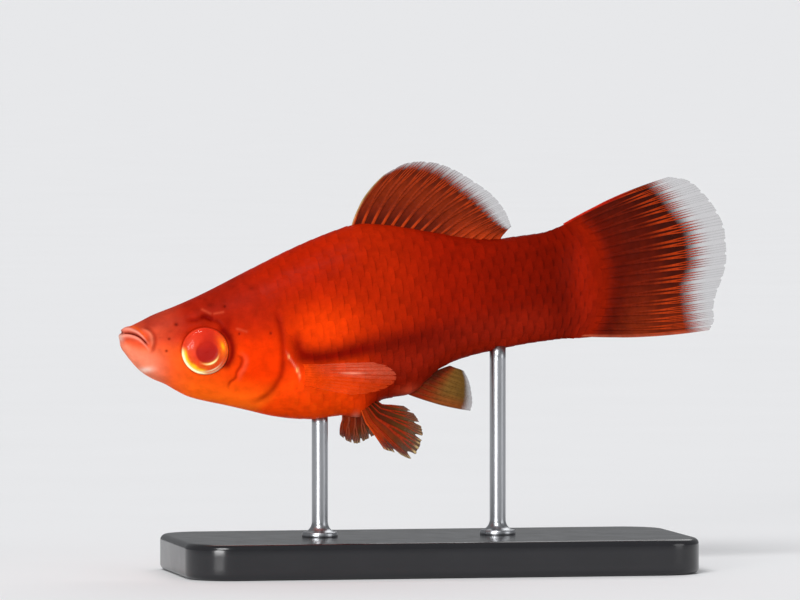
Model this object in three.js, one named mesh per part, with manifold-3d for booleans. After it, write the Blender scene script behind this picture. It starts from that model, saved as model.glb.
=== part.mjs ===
// Life-size display model of a female swordtail, a small red live-bearing fish, on a plain stand.
// All sizes are in millimetres. The fish is drawn along its own axes and then pitched nose-down:
// x runs from the snout tip (0) to the rear of the tail fin (70), y is positive on the fish's right
// side, and z is the height above the snout tip. Points in side view are written [x, z].
import * as THREE from "three";
import { mergeVertices } from "three/addons/utils/BufferGeometryUtils.js";
import Module from "manifold-3d";

const wasm = await Module();
wasm.setup();

// Pose and stand
const PITCH = THREE.MathUtils.degToRad(7);
const GAP = 0.3;
const BASE = { length: 58, width: 26, height: 4, corner: 5, chamfer: 0.6 };
const ROD = { radius: 0.9, foot: 2, footHeight: 0.8, sides: 20 };
const FRONT_ROD_X = 21.5;
const REAR_ROD_X = 42.5;
const SNOUT_HEIGHT = 26;

// The tail end bends gently towards the fish's right, and reaches a little further back
const BEND_START = 30;
const BEND_RATE = 0.0025;
const BEND_REACH = 0.19;

// Body outline: height of the back, of the belly and of the widest line, and the half width
const SNOUT = 0.2;
const NOSE = 0.6;
const BODY_END = 57;
const BACK = [
  [0.6, 1.1], [1.3, 1.35], [2.8, 1.85], [4.2, 2.35], [7, 3.05], [10, 3.95], [14.2, 5.45],
  [20, 7.6], [25.7, 9.15], [28.4, 9.6], [31.2, 9.15], [33.4, 8.6], [36.7, 7.6], [40, 6.6],
  [42.3, 6.05], [45, 5.85], [48.6, 5.85], [51.4, 6.25], [53, 6.9], [55, 7.7], [57, 8.4],
];
const BELLY = [
  [0.6, -1.4], [1, -2.1], [2.1, -3.65], [3.3, -4.65], [4.6, -5.4], [5.8, -6.3], [7, -7.1],
  [8.4, -7.7], [11, -8.6], [13.6, -9.55], [16.2, -10.5], [18.9, -11.2], [21.6, -11.6],
  [24.3, -11.5], [26.8, -11.05], [29.2, -10.4], [31, -10.3], [32.4, -10.05], [33.9, -9.05],
  [35.8, -7.85], [38.7, -7], [41.4, -6.7], [47, -6.4], [50, -6.4], [52.4, -6.65], [57, -7.05],
];
const WIDEST = [[0.6, -0.3], [2.5, -1], [5, -1.5], [10, -2.3], [20, -3.2], [30, -2.6], [40, -0.9], [57, 0]];
const HALF_WIDTH = [
  [0.6, 1.3], [1, 1.6], [2.5, 2.05], [5, 2.7], [8, 3.3], [12, 3.95], [16, 4.5], [21, 4.85],
  [26, 4.7], [31, 4.05], [36, 3.2], [42, 2.45], [48, 1.85], [52, 1.3], [55, 0.75], [57, 0.5],
];
const UPPER_SQUARENESS = [[0, 2.5], [6, 2.5], [14, 2.1], [26, 1.85], [57, 1.9]];
const LOWER_SQUARENESS = [[0, 2.4], [8, 2.1], [20, 2.15], [32, 1.9], [57, 1.9]];

// Head
const EYE = { x: 9, z: -2.15, radius: 2.65, bulge: 0.7, depth: 1.8, turn: THREE.MathUtils.degToRad(9) };
const MOUTH = [[-1, 0.9], [0.2, 0.88], [1, 0.84], [1.85, 0.5], [2.4, 0], [2.95, -0.87]];
const JAW_HINGE = [[3.15, -1.9], [3.35, -3.2], [3.6, -4.4], [3.8, -6.5]];
const LIP = { height: 0.16, offset: 0.4, spread: 0.28, end: 3.2, fade: 1.2 };
const ORBIT_RIM = { radius: 3, height: 0.28, spread: 0.7 };
const NOSTRIL = { x: 6.3, z: 1.3, radius: 0.34 };
const HEAD_REAR = [
  [14.4, 9], [15, 4.6], [16.2, 1.8], [17, 0.2], [17.45, -1.7], [17.55, -3.5], [17.2, -5.4],
  [16.4, -7.2], [15.4, -8.4], [14.1, -9.4], [12.9, -12.5],
];
const GILL_COVER = [
  [12.2, -0.6], [13.9, 0.7], [16.3, 1.1], [19.2, 0.6], [20, -3.5], [19, -7.2], [16.2, -9.2],
  [13.7, -8.5], [12.1, -7.4], [12, -6.2], [12.6, -4.6], [12.85, -3.2], [12.5, -1.8],
];
const COVER_THICKNESS = 1;
const COVER_LIFT = { x: 17.6, z: -3.4, height: 0.22, length: 3.2, reach: 5 };
const PECTORAL_PAD = { x: 18.7, z: -6, height: 0.35, length: 1, reach: 1.7 };

// Cuts behind the trunk
const STALK_CUT = [[39.4, 9], [39, 0], [38.4, -9]];
const TAIL_ARC = [[51.9, 8.6], [52.7, 6.9], [54.5, 4.4], [55.3, 0.4], [54.5, -3.8], [52.7, -6.5], [51.9, -8.4]];

// Mesh steps
const AROUND = 40;
const STEP_SNOUT = 0.38;
const STEP_HEAD = 0.75;
const STEP_TRUNK = 1.6;
const SNOUT_END = 4.6;
const HEAD_END = 19;
const FACET_MERGE = 0.01;

// Fins: sheet thickness and ridges
const SHEET_HALF = 0.25;
const SHEET_HALF_EDGE = 0.13;
const RIDGE = 0.19;
const RIDGE_EDGE = 0.07;
const BRANCH_OFFSET = 0.2;
const THIN_FROM = 0.7;
const SCALLOP = 0.02;

const smooth = THREE.MathUtils.smoothstep;
const mix = THREE.MathUtils.lerp;

// A curve through knots [x, value] that stays between them, as a function of x.
function through(knots) {
  const last = knots.length - 1;
  const slopes = [];
  for (let i = 0; i < last; i++) {
    slopes.push((knots[i + 1][1] - knots[i][1]) / (knots[i + 1][0] - knots[i][0]));
  }
  const tangent = (i) => {
    if (i === 0) return slopes[0];
    if (i === last) return slopes[last - 1];
    const product = slopes[i - 1] * slopes[i];
    return product <= 0 ? 0 : (2 * product) / (slopes[i - 1] + slopes[i]);
  };
  return (x) => {
    const at = THREE.MathUtils.clamp(x, knots[0][0], knots[last][0]);
    let i = 0;
    while (i < last - 1 && at > knots[i + 1][0]) i++;
    const run = knots[i + 1][0] - knots[i][0];
    const t = (at - knots[i][0]) / run;
    const rise = (1 - t) * (1 - t);
    return (
      knots[i][1] * (1 + 2 * t) * rise +
      run * tangent(i) * t * rise +
      knots[i + 1][1] * t * t * (3 - 2 * t) +
      run * tangent(i + 1) * t * t * (t - 1)
    );
  };
}

const back = through(BACK);
const belly = through(BELLY);
const widest = through(WIDEST);
const halfWidth = through(HALF_WIDTH);
const upperSquareness = through(UPPER_SQUARENESS);
const lowerSquareness = through(LOWER_SQUARENESS);
const mouthHeight = through(MOUTH);

// The section at x: centre height, half width, and height and squareness above and below.
function section(x, inset = 0) {
  const at = Math.max(x, NOSE);
  const round = Math.sqrt(THREE.MathUtils.clamp((x - SNOUT) / (NOSE - SNOUT), 0, 1));
  const middle = widest(at);
  return {
    middle,
    width: Math.max(0, (halfWidth(at) - inset) * round),
    up: Math.max(0, (back(at) - middle - inset) * round),
    down: Math.max(0, (middle - belly(at) - inset) * round),
    upperPower: 2 / upperSquareness(at),
    lowerPower: 2 / lowerSquareness(at),
  };
}

// A point on the plain body. The angle is 0 on the back and a quarter turn on the left flank.
function bodyPoint(x, angle, inset = 0) {
  const s = section(x, inset);
  const c = Math.cos(angle);
  const n = Math.sin(angle);
  const power = c >= 0 ? s.upperPower : s.lowerPower;
  const height = c >= 0 ? s.up : s.down;
  return new THREE.Vector3(
    x,
    -Math.sign(n) * s.width * Math.abs(n) ** power,
    s.middle + Math.sign(c) * height * Math.abs(c) ** power,
  );
}

const bump = (distance, spread) => Math.exp(-((distance / spread) ** 2));

// How far the flesh stands out at a side-view point: lips, orbit rim, gill cover and fin pad.
function relief(x, z) {
  const fromMouth = z - mouthHeight(x);
  const mouthFade = 1 - smooth(x, LIP.end - LIP.fade, LIP.end);
  const lips = bump(fromMouth - LIP.offset, LIP.spread) + bump(fromMouth + LIP.offset, LIP.spread);
  const fromEye = Math.hypot(x - EYE.x, z - EYE.z);
  const rim = bump(fromEye - ORBIT_RIM.radius, ORBIT_RIM.spread);
  const cover = bump(x - COVER_LIFT.x, COVER_LIFT.length) * bump(z - COVER_LIFT.z, COVER_LIFT.reach);
  const pad = bump(x - PECTORAL_PAD.x, PECTORAL_PAD.length) * bump(z - PECTORAL_PAD.z, PECTORAL_PAD.reach);
  return (
    LIP.height * lips * mouthFade +
    ORBIT_RIM.height * rim +
    COVER_LIFT.height * cover +
    PECTORAL_PAD.height * pad
  );
}

// A point on the body with its relief, pushed out along the normal of the plain body.
function fleshPoint(x, angle) {
  const p = bodyPoint(x, angle);
  const h = 0.02;
  const along = bodyPoint(x + h, angle).sub(bodyPoint(Math.max(x - h, SNOUT), angle));
  const round = bodyPoint(x, angle + h).sub(bodyPoint(x, angle - h));
  const normal = round.cross(along);
  if (normal.lengthSq() < 1e-16) return p;
  return p.addScaledVector(normal.normalize(), relief(p.x, p.z));
}

// The half width of the body at a side-view point.
function flank(x, z) {
  const s = section(x);
  const above = z >= s.middle;
  const power = above ? s.upperPower : s.lowerPower;
  const share = Math.min(1, Math.abs(z - s.middle) / (above ? s.up : s.down));
  const c = share ** (1 / power);
  return s.width * Math.sqrt(1 - c * c) ** power;
}

// The height of the underside at x and at a distance y from the middle.
function underside(x, y) {
  const s = section(x);
  const n = Math.min(1, Math.abs(y) / s.width) ** (1 / s.lowerPower);
  return s.middle - s.down * Math.sqrt(1 - n * n) ** s.lowerPower;
}

// A closed surface of rings of equal length, with a point at each end.
function loft(rings, first, last) {
  const count = rings[0].length;
  const positions = [first, ...rings.flat(), last].flatMap((p) => [p.x, p.y, p.z]);
  const index = [];
  const at = (ring, k) => 1 + ring * count + (k % count);
  const end = 1 + rings.length * count;
  for (let k = 0; k < count; k++) {
    index.push(0, at(0, k + 1), at(0, k));
    for (let r = 0; r + 1 < rings.length; r++) {
      index.push(at(r, k), at(r, k + 1), at(r + 1, k + 1));
      index.push(at(r, k), at(r + 1, k + 1), at(r + 1, k));
    }
    index.push(at(rings.length - 1, k), at(rings.length - 1, k + 1), end);
  }
  const geometry = new THREE.BufferGeometry();
  geometry.setAttribute("position", new THREE.Float32BufferAttribute(positions, 3));
  geometry.setIndex(index);
  return geometry;
}

// A body with the given point function, finer at the snout and the head.
function bodyGeometry(pointAt) {
  const stations = [0.05, 0.2, 0.5].map((share) => mix(SNOUT, NOSE, share));
  let x = NOSE;
  while (x < BODY_END) {
    stations.push(x);
    if (x < SNOUT_END) x += STEP_SNOUT;
    else if (x < HEAD_END) x += STEP_HEAD;
    else x += STEP_TRUNK;
  }
  stations.push(BODY_END);
  const ring = (s) => Array.from({ length: AROUND }, (_, k) => pointAt(s, (k / AROUND) * 2 * Math.PI));
  const tailEnd = new THREE.Vector3(BODY_END, 0, widest(BODY_END));
  return loft(stations.map(ring), new THREE.Vector3(SNOUT, 0, widest(NOSE)), tailEnd);
}

// A geometry as a solid for cutting, and back again.
function solid(geometry) {
  const bare = geometry.clone();
  bare.deleteAttribute("normal");
  bare.deleteAttribute("uv");
  const merged = mergeVertices(bare, 1e-4);
  const mesh = new wasm.Mesh({
    numProp: 3,
    vertProperties: merged.attributes.position.array,
    triVerts: new Uint32Array(merged.index.array),
  });
  return new wasm.Manifold(mesh);
}

function geometryOf(manifold) {
  const mesh = manifold.simplify(FACET_MERGE).getMesh();
  const geometry = new THREE.BufferGeometry();
  geometry.setAttribute("position", new THREE.BufferAttribute(mesh.vertProperties, 3));
  geometry.setIndex(new THREE.BufferAttribute(mesh.triVerts, 1));
  return geometry;
}

const bySize = (manifold) => manifold.decompose().sort((a, b) => b.volume() - a.volume());
const largest = (manifold) => bySize(manifold)[0];

// A side-view outline as a slab from y0 to y1.
function slab(points, y0, y1) {
  const shape = new THREE.Shape(points.map(([x, z]) => new THREE.Vector2(x, z)));
  const geometry = new THREE.ExtrudeGeometry(shape, { depth: y1 - y0, bevelEnabled: false });
  geometry.rotateX(Math.PI / 2);
  geometry.translate(0, y1, 0);
  return solid(geometry);
}

// Evenly spread points of the smooth curve through side-view points.
function sample(points, count, closed = false) {
  const curve = new THREE.CatmullRomCurve3(points.map(([x, z]) => new THREE.Vector3(x, 0, z)), closed);
  return curve.getPoints(count).map((p) => [p.x, p.z]);
}

// The points of a side-view line, moved sideways by a distance.
function offset(points, distance, closed = false) {
  const count = points.length;
  return points.map(([x, z], i) => {
    const before = closed ? points[(i + count - 1) % count] : points[Math.max(i - 1, 0)];
    const after = closed ? points[(i + 1) % count] : points[Math.min(i + 1, count - 1)];
    const [dx, dz] = [after[0] - before[0], after[1] - before[1]];
    const length = Math.hypot(dx, dz);
    return [x - (distance * dz) / length, z + (distance * dx) / length];
  });
}

// A thin curved sheet through the whole body, along a side-view line.
const THROUGH = 12;
function sheetCut(points, count) {
  const line = sample(points, count);
  return slab([...offset(line, GAP / 2), ...offset(line, -GAP / 2).reverse()], -THROUGH, THROUGH);
}

// Eye and socket: a shallow dome outside and a deeper bowl inside, turned about its own axis
function eyeSolid(side, grow) {
  const { radius, bulge, depth, turn } = EYE;
  const steps = 10;
  const profile = [];
  for (let i = 0; i <= steps; i++) {
    const angle = Math.PI * (1 - i / steps);
    const tall = angle < Math.PI / 2 ? bulge : depth;
    profile.push(new THREE.Vector2((radius + grow) * Math.sin(angle), (tall + grow) * Math.cos(angle)));
  }
  profile[0].x = 0;
  profile[steps].x = 0;
  const geometry = new THREE.LatheGeometry(profile, 24);
  const out = new THREE.Vector3(-Math.sin(turn), side * Math.cos(turn), 0);
  geometry.applyQuaternion(new THREE.Quaternion().setFromUnitVectors(new THREE.Vector3(0, 1, 0), out));
  geometry.translate(EYE.x, side * flank(EYE.x, EYE.z), EYE.z);
  return solid(geometry);
}

function nostrilSolid(side) {
  const pit = new THREE.IcosahedronGeometry(NOSTRIL.radius, 1);
  pit.translate(NOSTRIL.x, side * flank(NOSTRIL.x, NOSTRIL.z), NOSTRIL.z);
  return solid(pit);
}

// The whole body, parted by thin cuts into jaw, head, trunk and tail stalk
const wholeBody = solid(bodyGeometry(fleshPoint));
const partedBody = wholeBody
  .subtract(sheetCut([...MOUTH, ...JAW_HINGE], 20))
  .subtract(sheetCut(HEAD_REAR, 18))
  .subtract(sheetCut(STALK_CUT, 4))
  .subtract(sheetCut(TAIL_ARC, 14));
const pieces = bySize(partedBody);
const [trunk, rawHead, stalk] = pieces;
const jaw = pieces.find((piece) => piece.boundingBox().max[0] < JAW_HINGE[3][0] + 1);

// Gill covers lie in a recess of the head, as plates that follow the flank
const under = (depth) => solid(bodyGeometry((x, angle) => bodyPoint(x, angle, depth)));
const coverOutline = sample(GILL_COVER, 30, true).slice(0, -1);
const recessOutline = offset(coverOutline, GAP, true);
const underCover = under(COVER_THICKNESS);
const underRecess = under(COVER_THICKNESS + GAP);
function sideSlab(outline, side) {
  return side < 0 ? slab(outline, -THROUGH, -GAP) : slab(outline, GAP, THROUGH);
}
const gillCover = (side) => largest(rawHead.intersect(sideSlab(coverOutline, side)).subtract(underCover));

let head = rawHead;
for (const side of [-1, 1]) {
  head = head
    .subtract(sideSlab(recessOutline, side).subtract(underRecess))
    .subtract(eyeSolid(side, GAP))
    .subtract(nostrilSolid(side));
}
head = largest(head);

// Fins. The columns of a fin run along its rays, on each ray, beside it and between two rays
function finColumns(rays) {
  const columns = [];
  for (let i = 0; i < rays; i++) {
    columns.push({ at: i - BRANCH_OFFSET, kind: "branch" });
    columns.push({ at: i, kind: "ray" });
    columns.push({ at: i + BRANCH_OFFSET, kind: "branch" });
    if (i + 1 < rays) columns.push({ at: i + 0.5, kind: "web" });
  }
  const span = rays - 1 + 2 * BRANCH_OFFSET;
  return columns.map((c) => ({ ...c, u: (c.at + BRANCH_OFFSET) / span }));
}

// Half the thickness of a fin: one ridge along each ray, and two beyond the place where it forks.
function finHalf(kind, v, forkAt) {
  const thin = smooth(v, THIN_FROM, 1);
  const sheet = mix(SHEET_HALF, SHEET_HALF_EDGE, thin);
  const ridge = mix(RIDGE, RIDGE_EDGE, v);
  const forked = smooth(v, forkAt - 0.1, forkAt + 0.15);
  const share = { ray: mix(1, 0.3, forked), branch: mix(0.35, 0.9, forked), web: 0 }[kind];
  return sheet + ridge * share;
}

// A fin between its root line and its margin. Both are functions of u, from the first ray to the last,
// and bow(u, v) adds the curve of the rays.
function fin({ rays, rows, root, margin, bow, forkAt }) {
  const columns = finColumns(rays);
  const middle = (u, v) => root(u).lerp(margin(u), v).add(bow(u, v));
  const normal = (u, v) => {
    const h = 0.01;
    const across = middle(Math.min(u + h, 1), v).sub(middle(Math.max(u - h, 0), v));
    const along = middle(u, Math.min(v + h, 1)).sub(middle(u, Math.max(v - h, 0)));
    return across.cross(along).normalize();
  };
  const faces = [[], []];
  for (const { u, kind } of columns) {
    const reach = 1 - { ray: SCALLOP / 2, branch: 0, web: SCALLOP }[kind];
    for (let r = 0; r < rows; r++) {
      const v = r / (rows - 1);
      const p = middle(u, v * reach);
      const n = normal(u, v * reach);
      const half = finHalf(kind, v, forkAt);
      faces[0].push(p.clone().addScaledVector(n, half));
      faces[1].push(p.clone().addScaledVector(n, -half));
    }
  }
  const size = columns.length * rows;
  const id = (face, column, row) => face * size + column * rows + row;
  const index = [];
  const quad = (a, b, c, d) => index.push(a, b, c, a, c, d);
  for (let c = 0; c + 1 < columns.length; c++) {
    for (let r = 0; r + 1 < rows; r++) {
      const [a, b, e, d] = [[c, r], [c + 1, r], [c + 1, r + 1], [c, r + 1]];
      quad(id(0, ...a), id(0, ...b), id(0, ...e), id(0, ...d));
      index.push(id(1, ...a), id(1, ...e), id(1, ...b));
      index.push(id(1, ...a), id(1, ...d), id(1, ...e));
    }
  }
  const lastColumn = columns.length - 1;
  const lastRow = rows - 1;
  for (let c = 0; c < lastColumn; c++) {
    quad(id(1, c, 0), id(1, c + 1, 0), id(0, c + 1, 0), id(0, c, 0));
    quad(id(0, c, lastRow), id(0, c + 1, lastRow), id(1, c + 1, lastRow), id(1, c, lastRow));
  }
  for (let r = 0; r < lastRow; r++) {
    quad(id(0, 0, r), id(0, 0, r + 1), id(1, 0, r + 1), id(1, 0, r));
    quad(id(1, lastColumn, r), id(1, lastColumn, r + 1), id(0, lastColumn, r + 1), id(0, lastColumn, r));
  }
  const positions = faces.flat().flatMap((p) => [p.x, p.y, p.z]);
  const geometry = new THREE.BufferGeometry();
  geometry.setAttribute("position", new THREE.Float32BufferAttribute(positions, 3));
  geometry.setIndex(index);
  return geometry;
}

// A smooth line through points, as a function from 0 to 1 that returns a new point each time.
function line(points) {
  const curve = new THREE.CatmullRomCurve3(points.map((p) => new THREE.Vector3(...p)));
  return (u) => curve.getPoint(u);
}

const arch = (v) => 4 * v * (1 - v);

// Dorsal fin: thirteen rays that lean back from the ridge of the back
const DORSAL = { start: 28.1, end: 44.2, rays: 13, rows: 7, lean: 0.5, sway: 0.25 };
const dorsalMargin = line([
  [32.2, 0, 14.6], [34.9, 0, 15.5], [37.7, 0, 15.2], [39.9, 0, 14.2], [42, 0, 12.6],
  [44, 0, 10.7], [45.2, 0, 8.7], [45.7, 0, 6.95],
]);
const dorsalFin = fin({
  rays: DORSAL.rays,
  rows: DORSAL.rows,
  forkAt: 0.55,
  root: (u) => {
    const x = mix(DORSAL.start, DORSAL.end, u);
    return new THREE.Vector3(x, 0, back(x) + GAP);
  },
  margin: dorsalMargin,
  bow: (u, v) =>
    new THREE.Vector3(
      -DORSAL.lean * arch(v) * (1 - u),
      DORSAL.sway * v * Math.sin(u * 2 * Math.PI),
      0.6 * DORSAL.lean * arch(v) * (1 - 0.6 * u),
    ),
});

// Tail fin: sixteen rays that fan out from the arc at the end of the stalk
const TAIL = { rays: 16, rows: 9, edgeBow: 0.35, ripple: 0.3 };
const tailArc = offset(sample(TAIL_ARC.slice(1, -1), 40), GAP / 2).map(([x, z]) => [x, 0, z]);
const tailMargin = line([
  [64.4, 0, 10.05], [66.7, 0, 9.3], [68.2, 0, 7.7], [69.2, 0, 6.1], [70, 0, 3.8], [70, 0, 1.6],
  [69.8, 0, -0.3], [69.1, 0, -2.2], [68.3, 0, -3.8], [67.8, 0, -5.4], [67.7, 0, -6.7], [67, 0, -7.7],
]);
const tailFin = fin({
  rays: TAIL.rays,
  rows: TAIL.rows,
  forkAt: 0.45,
  root: line(tailArc),
  margin: tailMargin,
  bow: (u, v) =>
    new THREE.Vector3(
      0,
      TAIL.ripple * v * Math.sin(u * 3 * Math.PI),
      TAIL.edgeBow * arch(v) * (1 - 2 * u),
    ),
});

// Anal fin: nine rays in a small fan behind the vent
const ANAL = { start: 32.2, end: 37.1, rays: 9, rows: 5, belly: 0.5 };
const analMargin = line([[38.6, 0, -12.9], [38.95, 0, -12.1], [38.95, 0, -10.9], [38.8, 0, -9.6], [38.4, 0, -8.4]]);
const analFin = fin({
  rays: ANAL.rays,
  rows: ANAL.rows,
  forkAt: 0.5,
  root: (u) => {
    const x = mix(ANAL.start, ANAL.end, u);
    return new THREE.Vector3(x, 0, belly(x) - GAP);
  },
  margin: analMargin,
  bow: (u, v) => new THREE.Vector3(0, 0.15 * v * Math.sin(u * 2 * Math.PI), -ANAL.belly * arch(v) * (1 - u)),
});

// Paired fins. A root point lies on the flank or the belly, clear of it by the gap and the sheet
const ROOT_CLEAR = GAP + SHEET_HALF + RIDGE;
const mirrored = (points) => points.map(([x, y, z]) => [x, -y, z]);

const PECTORAL = { rays: 10, rows: 6, top: [18.8, -4.9], bottom: [19.3, -7.3], swell: 0.7 };
const pectoralMargin = [
  [27.2, -5.9, -5.7], [28.6, -6.4, -6.3], [29.3, -7.2, -7.1], [29, -8.2, -7.9], [27.7, -9, -8.5],
  [25.8, -9.2, -8.8], [23.8, -8.7, -8.8],
];
function pectoralFin(side, margin) {
  const [x0, z0] = PECTORAL.top;
  const [x1, z1] = PECTORAL.bottom;
  return fin({
    rays: PECTORAL.rays,
    rows: PECTORAL.rows,
    forkAt: 0.5,
    root: (u) => {
      const [x, z] = [mix(x0, x1, u), mix(z0, z1, u)];
      const stand = PECTORAL_PAD.height + ROOT_CLEAR;
      return new THREE.Vector3(x, side * (flank(x, z) + stand), z);
    },
    margin: line(side < 0 ? margin : mirrored(margin)),
    bow: (u, v) => new THREE.Vector3(0, side * PECTORAL.swell * arch(v) * (0.4 + 0.6 * u), 0),
  });
}

const PELVIC = { rays: 6, rows: 6, front: 26.2, rear: 27.9, inner: 1.1, outer: 1.9 };
const leftPelvicMargin = [
  [27.8, -3, -15.7], [29.3, -3.6, -16.4], [30.6, -3.8, -17.1], [31.9, -3.5, -15.6],
  [32.4, -3, -14.4], [32.2, -2.6, -13.2], [31.7, -2.1, -12.1], [30.9, -1.5, -11.3],
];
const rightPelvicMargin = [
  [24.2, 3.2, -13.7], [24.9, 3.3, -14.6], [26, 3.2, -14.8], [27.2, 2.9, -14.2], [28.3, 2.5, -13.6],
  [29.1, 2, -12.7],
];
function pelvicFin(side, margin) {
  return fin({
    rays: PELVIC.rays,
    rows: PELVIC.rows,
    forkAt: 0.45,
    root: (u) => {
      const x = mix(PELVIC.front, PELVIC.rear, u);
      const y = side * mix(PELVIC.outer, PELVIC.inner, u);
      return new THREE.Vector3(x, y, underside(x, y) - ROOT_CLEAR);
    },
    margin: line(margin),
    bow: (u, v) => new THREE.Vector3(0, side * 0.3 * arch(v), 0),
  });
}

// Placement: the fish is bent, pitched and lifted, and its length is centred over the base
const bendAt = (x) => BEND_RATE * Math.max(0, x - BEND_START) ** 2;

function bent(geometry) {
  const position = geometry.attributes.position;
  for (let i = 0; i < position.count; i++) {
    const bend = bendAt(position.getX(i));
    position.setY(i, position.getY(i) + bend);
    position.setX(i, position.getX(i) + BEND_REACH * bend);
  }
  return geometry;
}

// Materials
const FLESH = new THREE.MeshStandardMaterial({ color: 0xd8330f, roughness: 0.35 });
const FIN = new THREE.MeshStandardMaterial({ color: 0xb8401c, roughness: 0.45 });
const IRIS = new THREE.MeshStandardMaterial({ color: 0xf08a1c, roughness: 0.15, metalness: 0.3 });
const PLINTH = new THREE.MeshStandardMaterial({ color: 0x1c1c1e, roughness: 0.3 });
const STEEL = new THREE.MeshStandardMaterial({ color: 0xb9bcc0, roughness: 0.25, metalness: 1 });

function named(name, geometry, material) {
  const mesh = new THREE.Mesh(geometry, material);
  mesh.name = name;
  return mesh;
}

const fish = new THREE.Group();
const fishParts = [
  ["head", geometryOf(head), FLESH],
  ["lower_jaw", geometryOf(jaw), FLESH],
  ["gill_cover_left", geometryOf(gillCover(-1)), FLESH],
  ["gill_cover_right", geometryOf(gillCover(1)), FLESH],
  ["eye_left", geometryOf(eyeSolid(-1, 0)), IRIS],
  ["eye_right", geometryOf(eyeSolid(1, 0)), IRIS],
  ["trunk", geometryOf(trunk), FLESH],
  ["tail_stalk", geometryOf(stalk), FLESH],
  ["dorsal_fin", dorsalFin, FIN],
  ["tail_fin", tailFin, FIN],
  ["anal_fin", analFin, FIN],
  ["pectoral_fin_left", pectoralFin(-1, pectoralMargin), FIN],
  ["pectoral_fin_right", pectoralFin(1, pectoralMargin), FIN],
  ["pelvic_fin_left", pelvicFin(-1, leftPelvicMargin), FIN],
  ["pelvic_fin_right", pelvicFin(1, rightPelvicMargin), FIN],
];
for (const [name, geometry, material] of fishParts) {
  fish.add(named(name, bent(geometry), material));
}
fish.rotation.y = -PITCH;
fish.position.z = SNOUT_HEIGHT;
const extent = new THREE.Box3().setFromObject(fish, true);
fish.position.x = -(extent.min.x + extent.max.x) / 2;

// The height of the fish's underside over a point of the floor
function undersideOver(x, y) {
  const [c, n] = [Math.cos(PITCH), Math.sin(PITCH)];
  let along = (x - fish.position.x) / c;
  let height = 0;
  for (let i = 0; i < 12; i++) {
    const bend = bendAt(along);
    height = underside(along, y - bend);
    along += (x - fish.position.x + height * n) / c - (along + BEND_REACH * bend);
  }
  return SNOUT_HEIGHT + (along + BEND_REACH * bendAt(along)) * n + height * c;
}

// Stand: a flat base with a chamfered edge, and two rods whose tops follow the belly
function baseGeometry() {
  const { length, width, height, corner, chamfer } = BASE;
  const [x, y, r] = [length / 2 - chamfer, width / 2 - chamfer, corner];
  const shape = new THREE.Shape();
  shape.moveTo(r - x, -y);
  shape.lineTo(x - r, -y);
  shape.absarc(x - r, r - y, r, -Math.PI / 2, 0);
  shape.lineTo(x, y - r);
  shape.absarc(x - r, y - r, r, 0, Math.PI / 2);
  shape.lineTo(r - x, y);
  shape.absarc(r - x, y - r, r, Math.PI / 2, Math.PI);
  shape.lineTo(-x, r - y);
  shape.absarc(r - x, r - y, r, Math.PI, 1.5 * Math.PI);
  const geometry = new THREE.ExtrudeGeometry(shape, {
    depth: height - 2 * chamfer,
    bevelThickness: chamfer,
    bevelSize: chamfer,
    bevelSegments: 1,
    curveSegments: 6,
  });
  geometry.translate(0, 0, chamfer);
  return geometryOf(solid(geometry));
}

function rodGeometry(bodyX) {
  const y = bendAt(bodyX);
  const reach = bodyX + BEND_REACH * y;
  const x = fish.position.x + reach * Math.cos(PITCH) - belly(bodyX) * Math.sin(PITCH);
  const bottom = BASE.height + GAP;
  const { radius, foot, footHeight, sides } = ROD;
  const top = undersideOver(x, y) - GAP;
  const profile = [
    [0, bottom], [foot, bottom], [foot, bottom + 0.6 * footHeight], [0.8 * foot, bottom + footHeight],
    [radius, bottom + 1.6 * footHeight], [radius, top], [0, top],
  ].map(([r, z]) => new THREE.Vector2(r, z));
  const geometry = new THREE.LatheGeometry(profile, sides);
  geometry.rotateX(Math.PI / 2);
  geometry.translate(x, y, 0);
  const position = geometry.attributes.position;
  for (let i = 0; i < position.count; i++) {
    if (position.getZ(i) > top - GAP) {
      position.setZ(i, undersideOver(position.getX(i), position.getY(i)) - GAP);
    }
  }
  return geometryOf(solid(geometry));
}

const model = new THREE.Group();
model.add(
  fish,
  named("stand_base", baseGeometry(), PLINTH),
  named("stand_rod_front", rodGeometry(FRONT_ROD_X), STEEL),
  named("stand_rod_rear", rodGeometry(REAR_ROD_X), STEEL),
);

export default model;
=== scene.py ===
import math

import bpy
import numpy as np
from mathutils import Euler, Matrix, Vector


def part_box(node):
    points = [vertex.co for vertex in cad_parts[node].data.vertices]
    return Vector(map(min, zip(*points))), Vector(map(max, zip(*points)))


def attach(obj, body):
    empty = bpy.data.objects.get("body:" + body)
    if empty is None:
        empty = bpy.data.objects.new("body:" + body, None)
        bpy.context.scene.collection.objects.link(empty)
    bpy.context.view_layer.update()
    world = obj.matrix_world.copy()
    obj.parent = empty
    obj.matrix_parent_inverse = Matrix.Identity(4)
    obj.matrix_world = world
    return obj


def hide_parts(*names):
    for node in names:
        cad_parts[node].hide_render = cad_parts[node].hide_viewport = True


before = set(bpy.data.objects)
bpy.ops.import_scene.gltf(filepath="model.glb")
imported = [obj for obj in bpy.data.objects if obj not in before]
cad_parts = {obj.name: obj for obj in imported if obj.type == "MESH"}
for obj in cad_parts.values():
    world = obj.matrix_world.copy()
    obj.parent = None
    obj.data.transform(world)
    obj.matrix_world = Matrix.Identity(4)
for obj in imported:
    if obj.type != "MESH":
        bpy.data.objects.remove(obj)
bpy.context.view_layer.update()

# Life-size display model of a female red swordtail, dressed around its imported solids.
# Sizes are in millimetres along the fish's own axes, until place() turns them into metres in the
# frame: x runs from the snout tip to the tail, y is positive on the fish's right side, and z is the
# height above the snout tip. Points in side view are written (x, z).

# Curves
LINE_STEPS = 28


def smooth(x, low, high):
    share = np.clip((x - low) / (high - low), 0, 1)
    return share * share * (3 - 2 * share)


def fade(x, low, high):
    return 1 - smooth(x, low, high)


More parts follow.
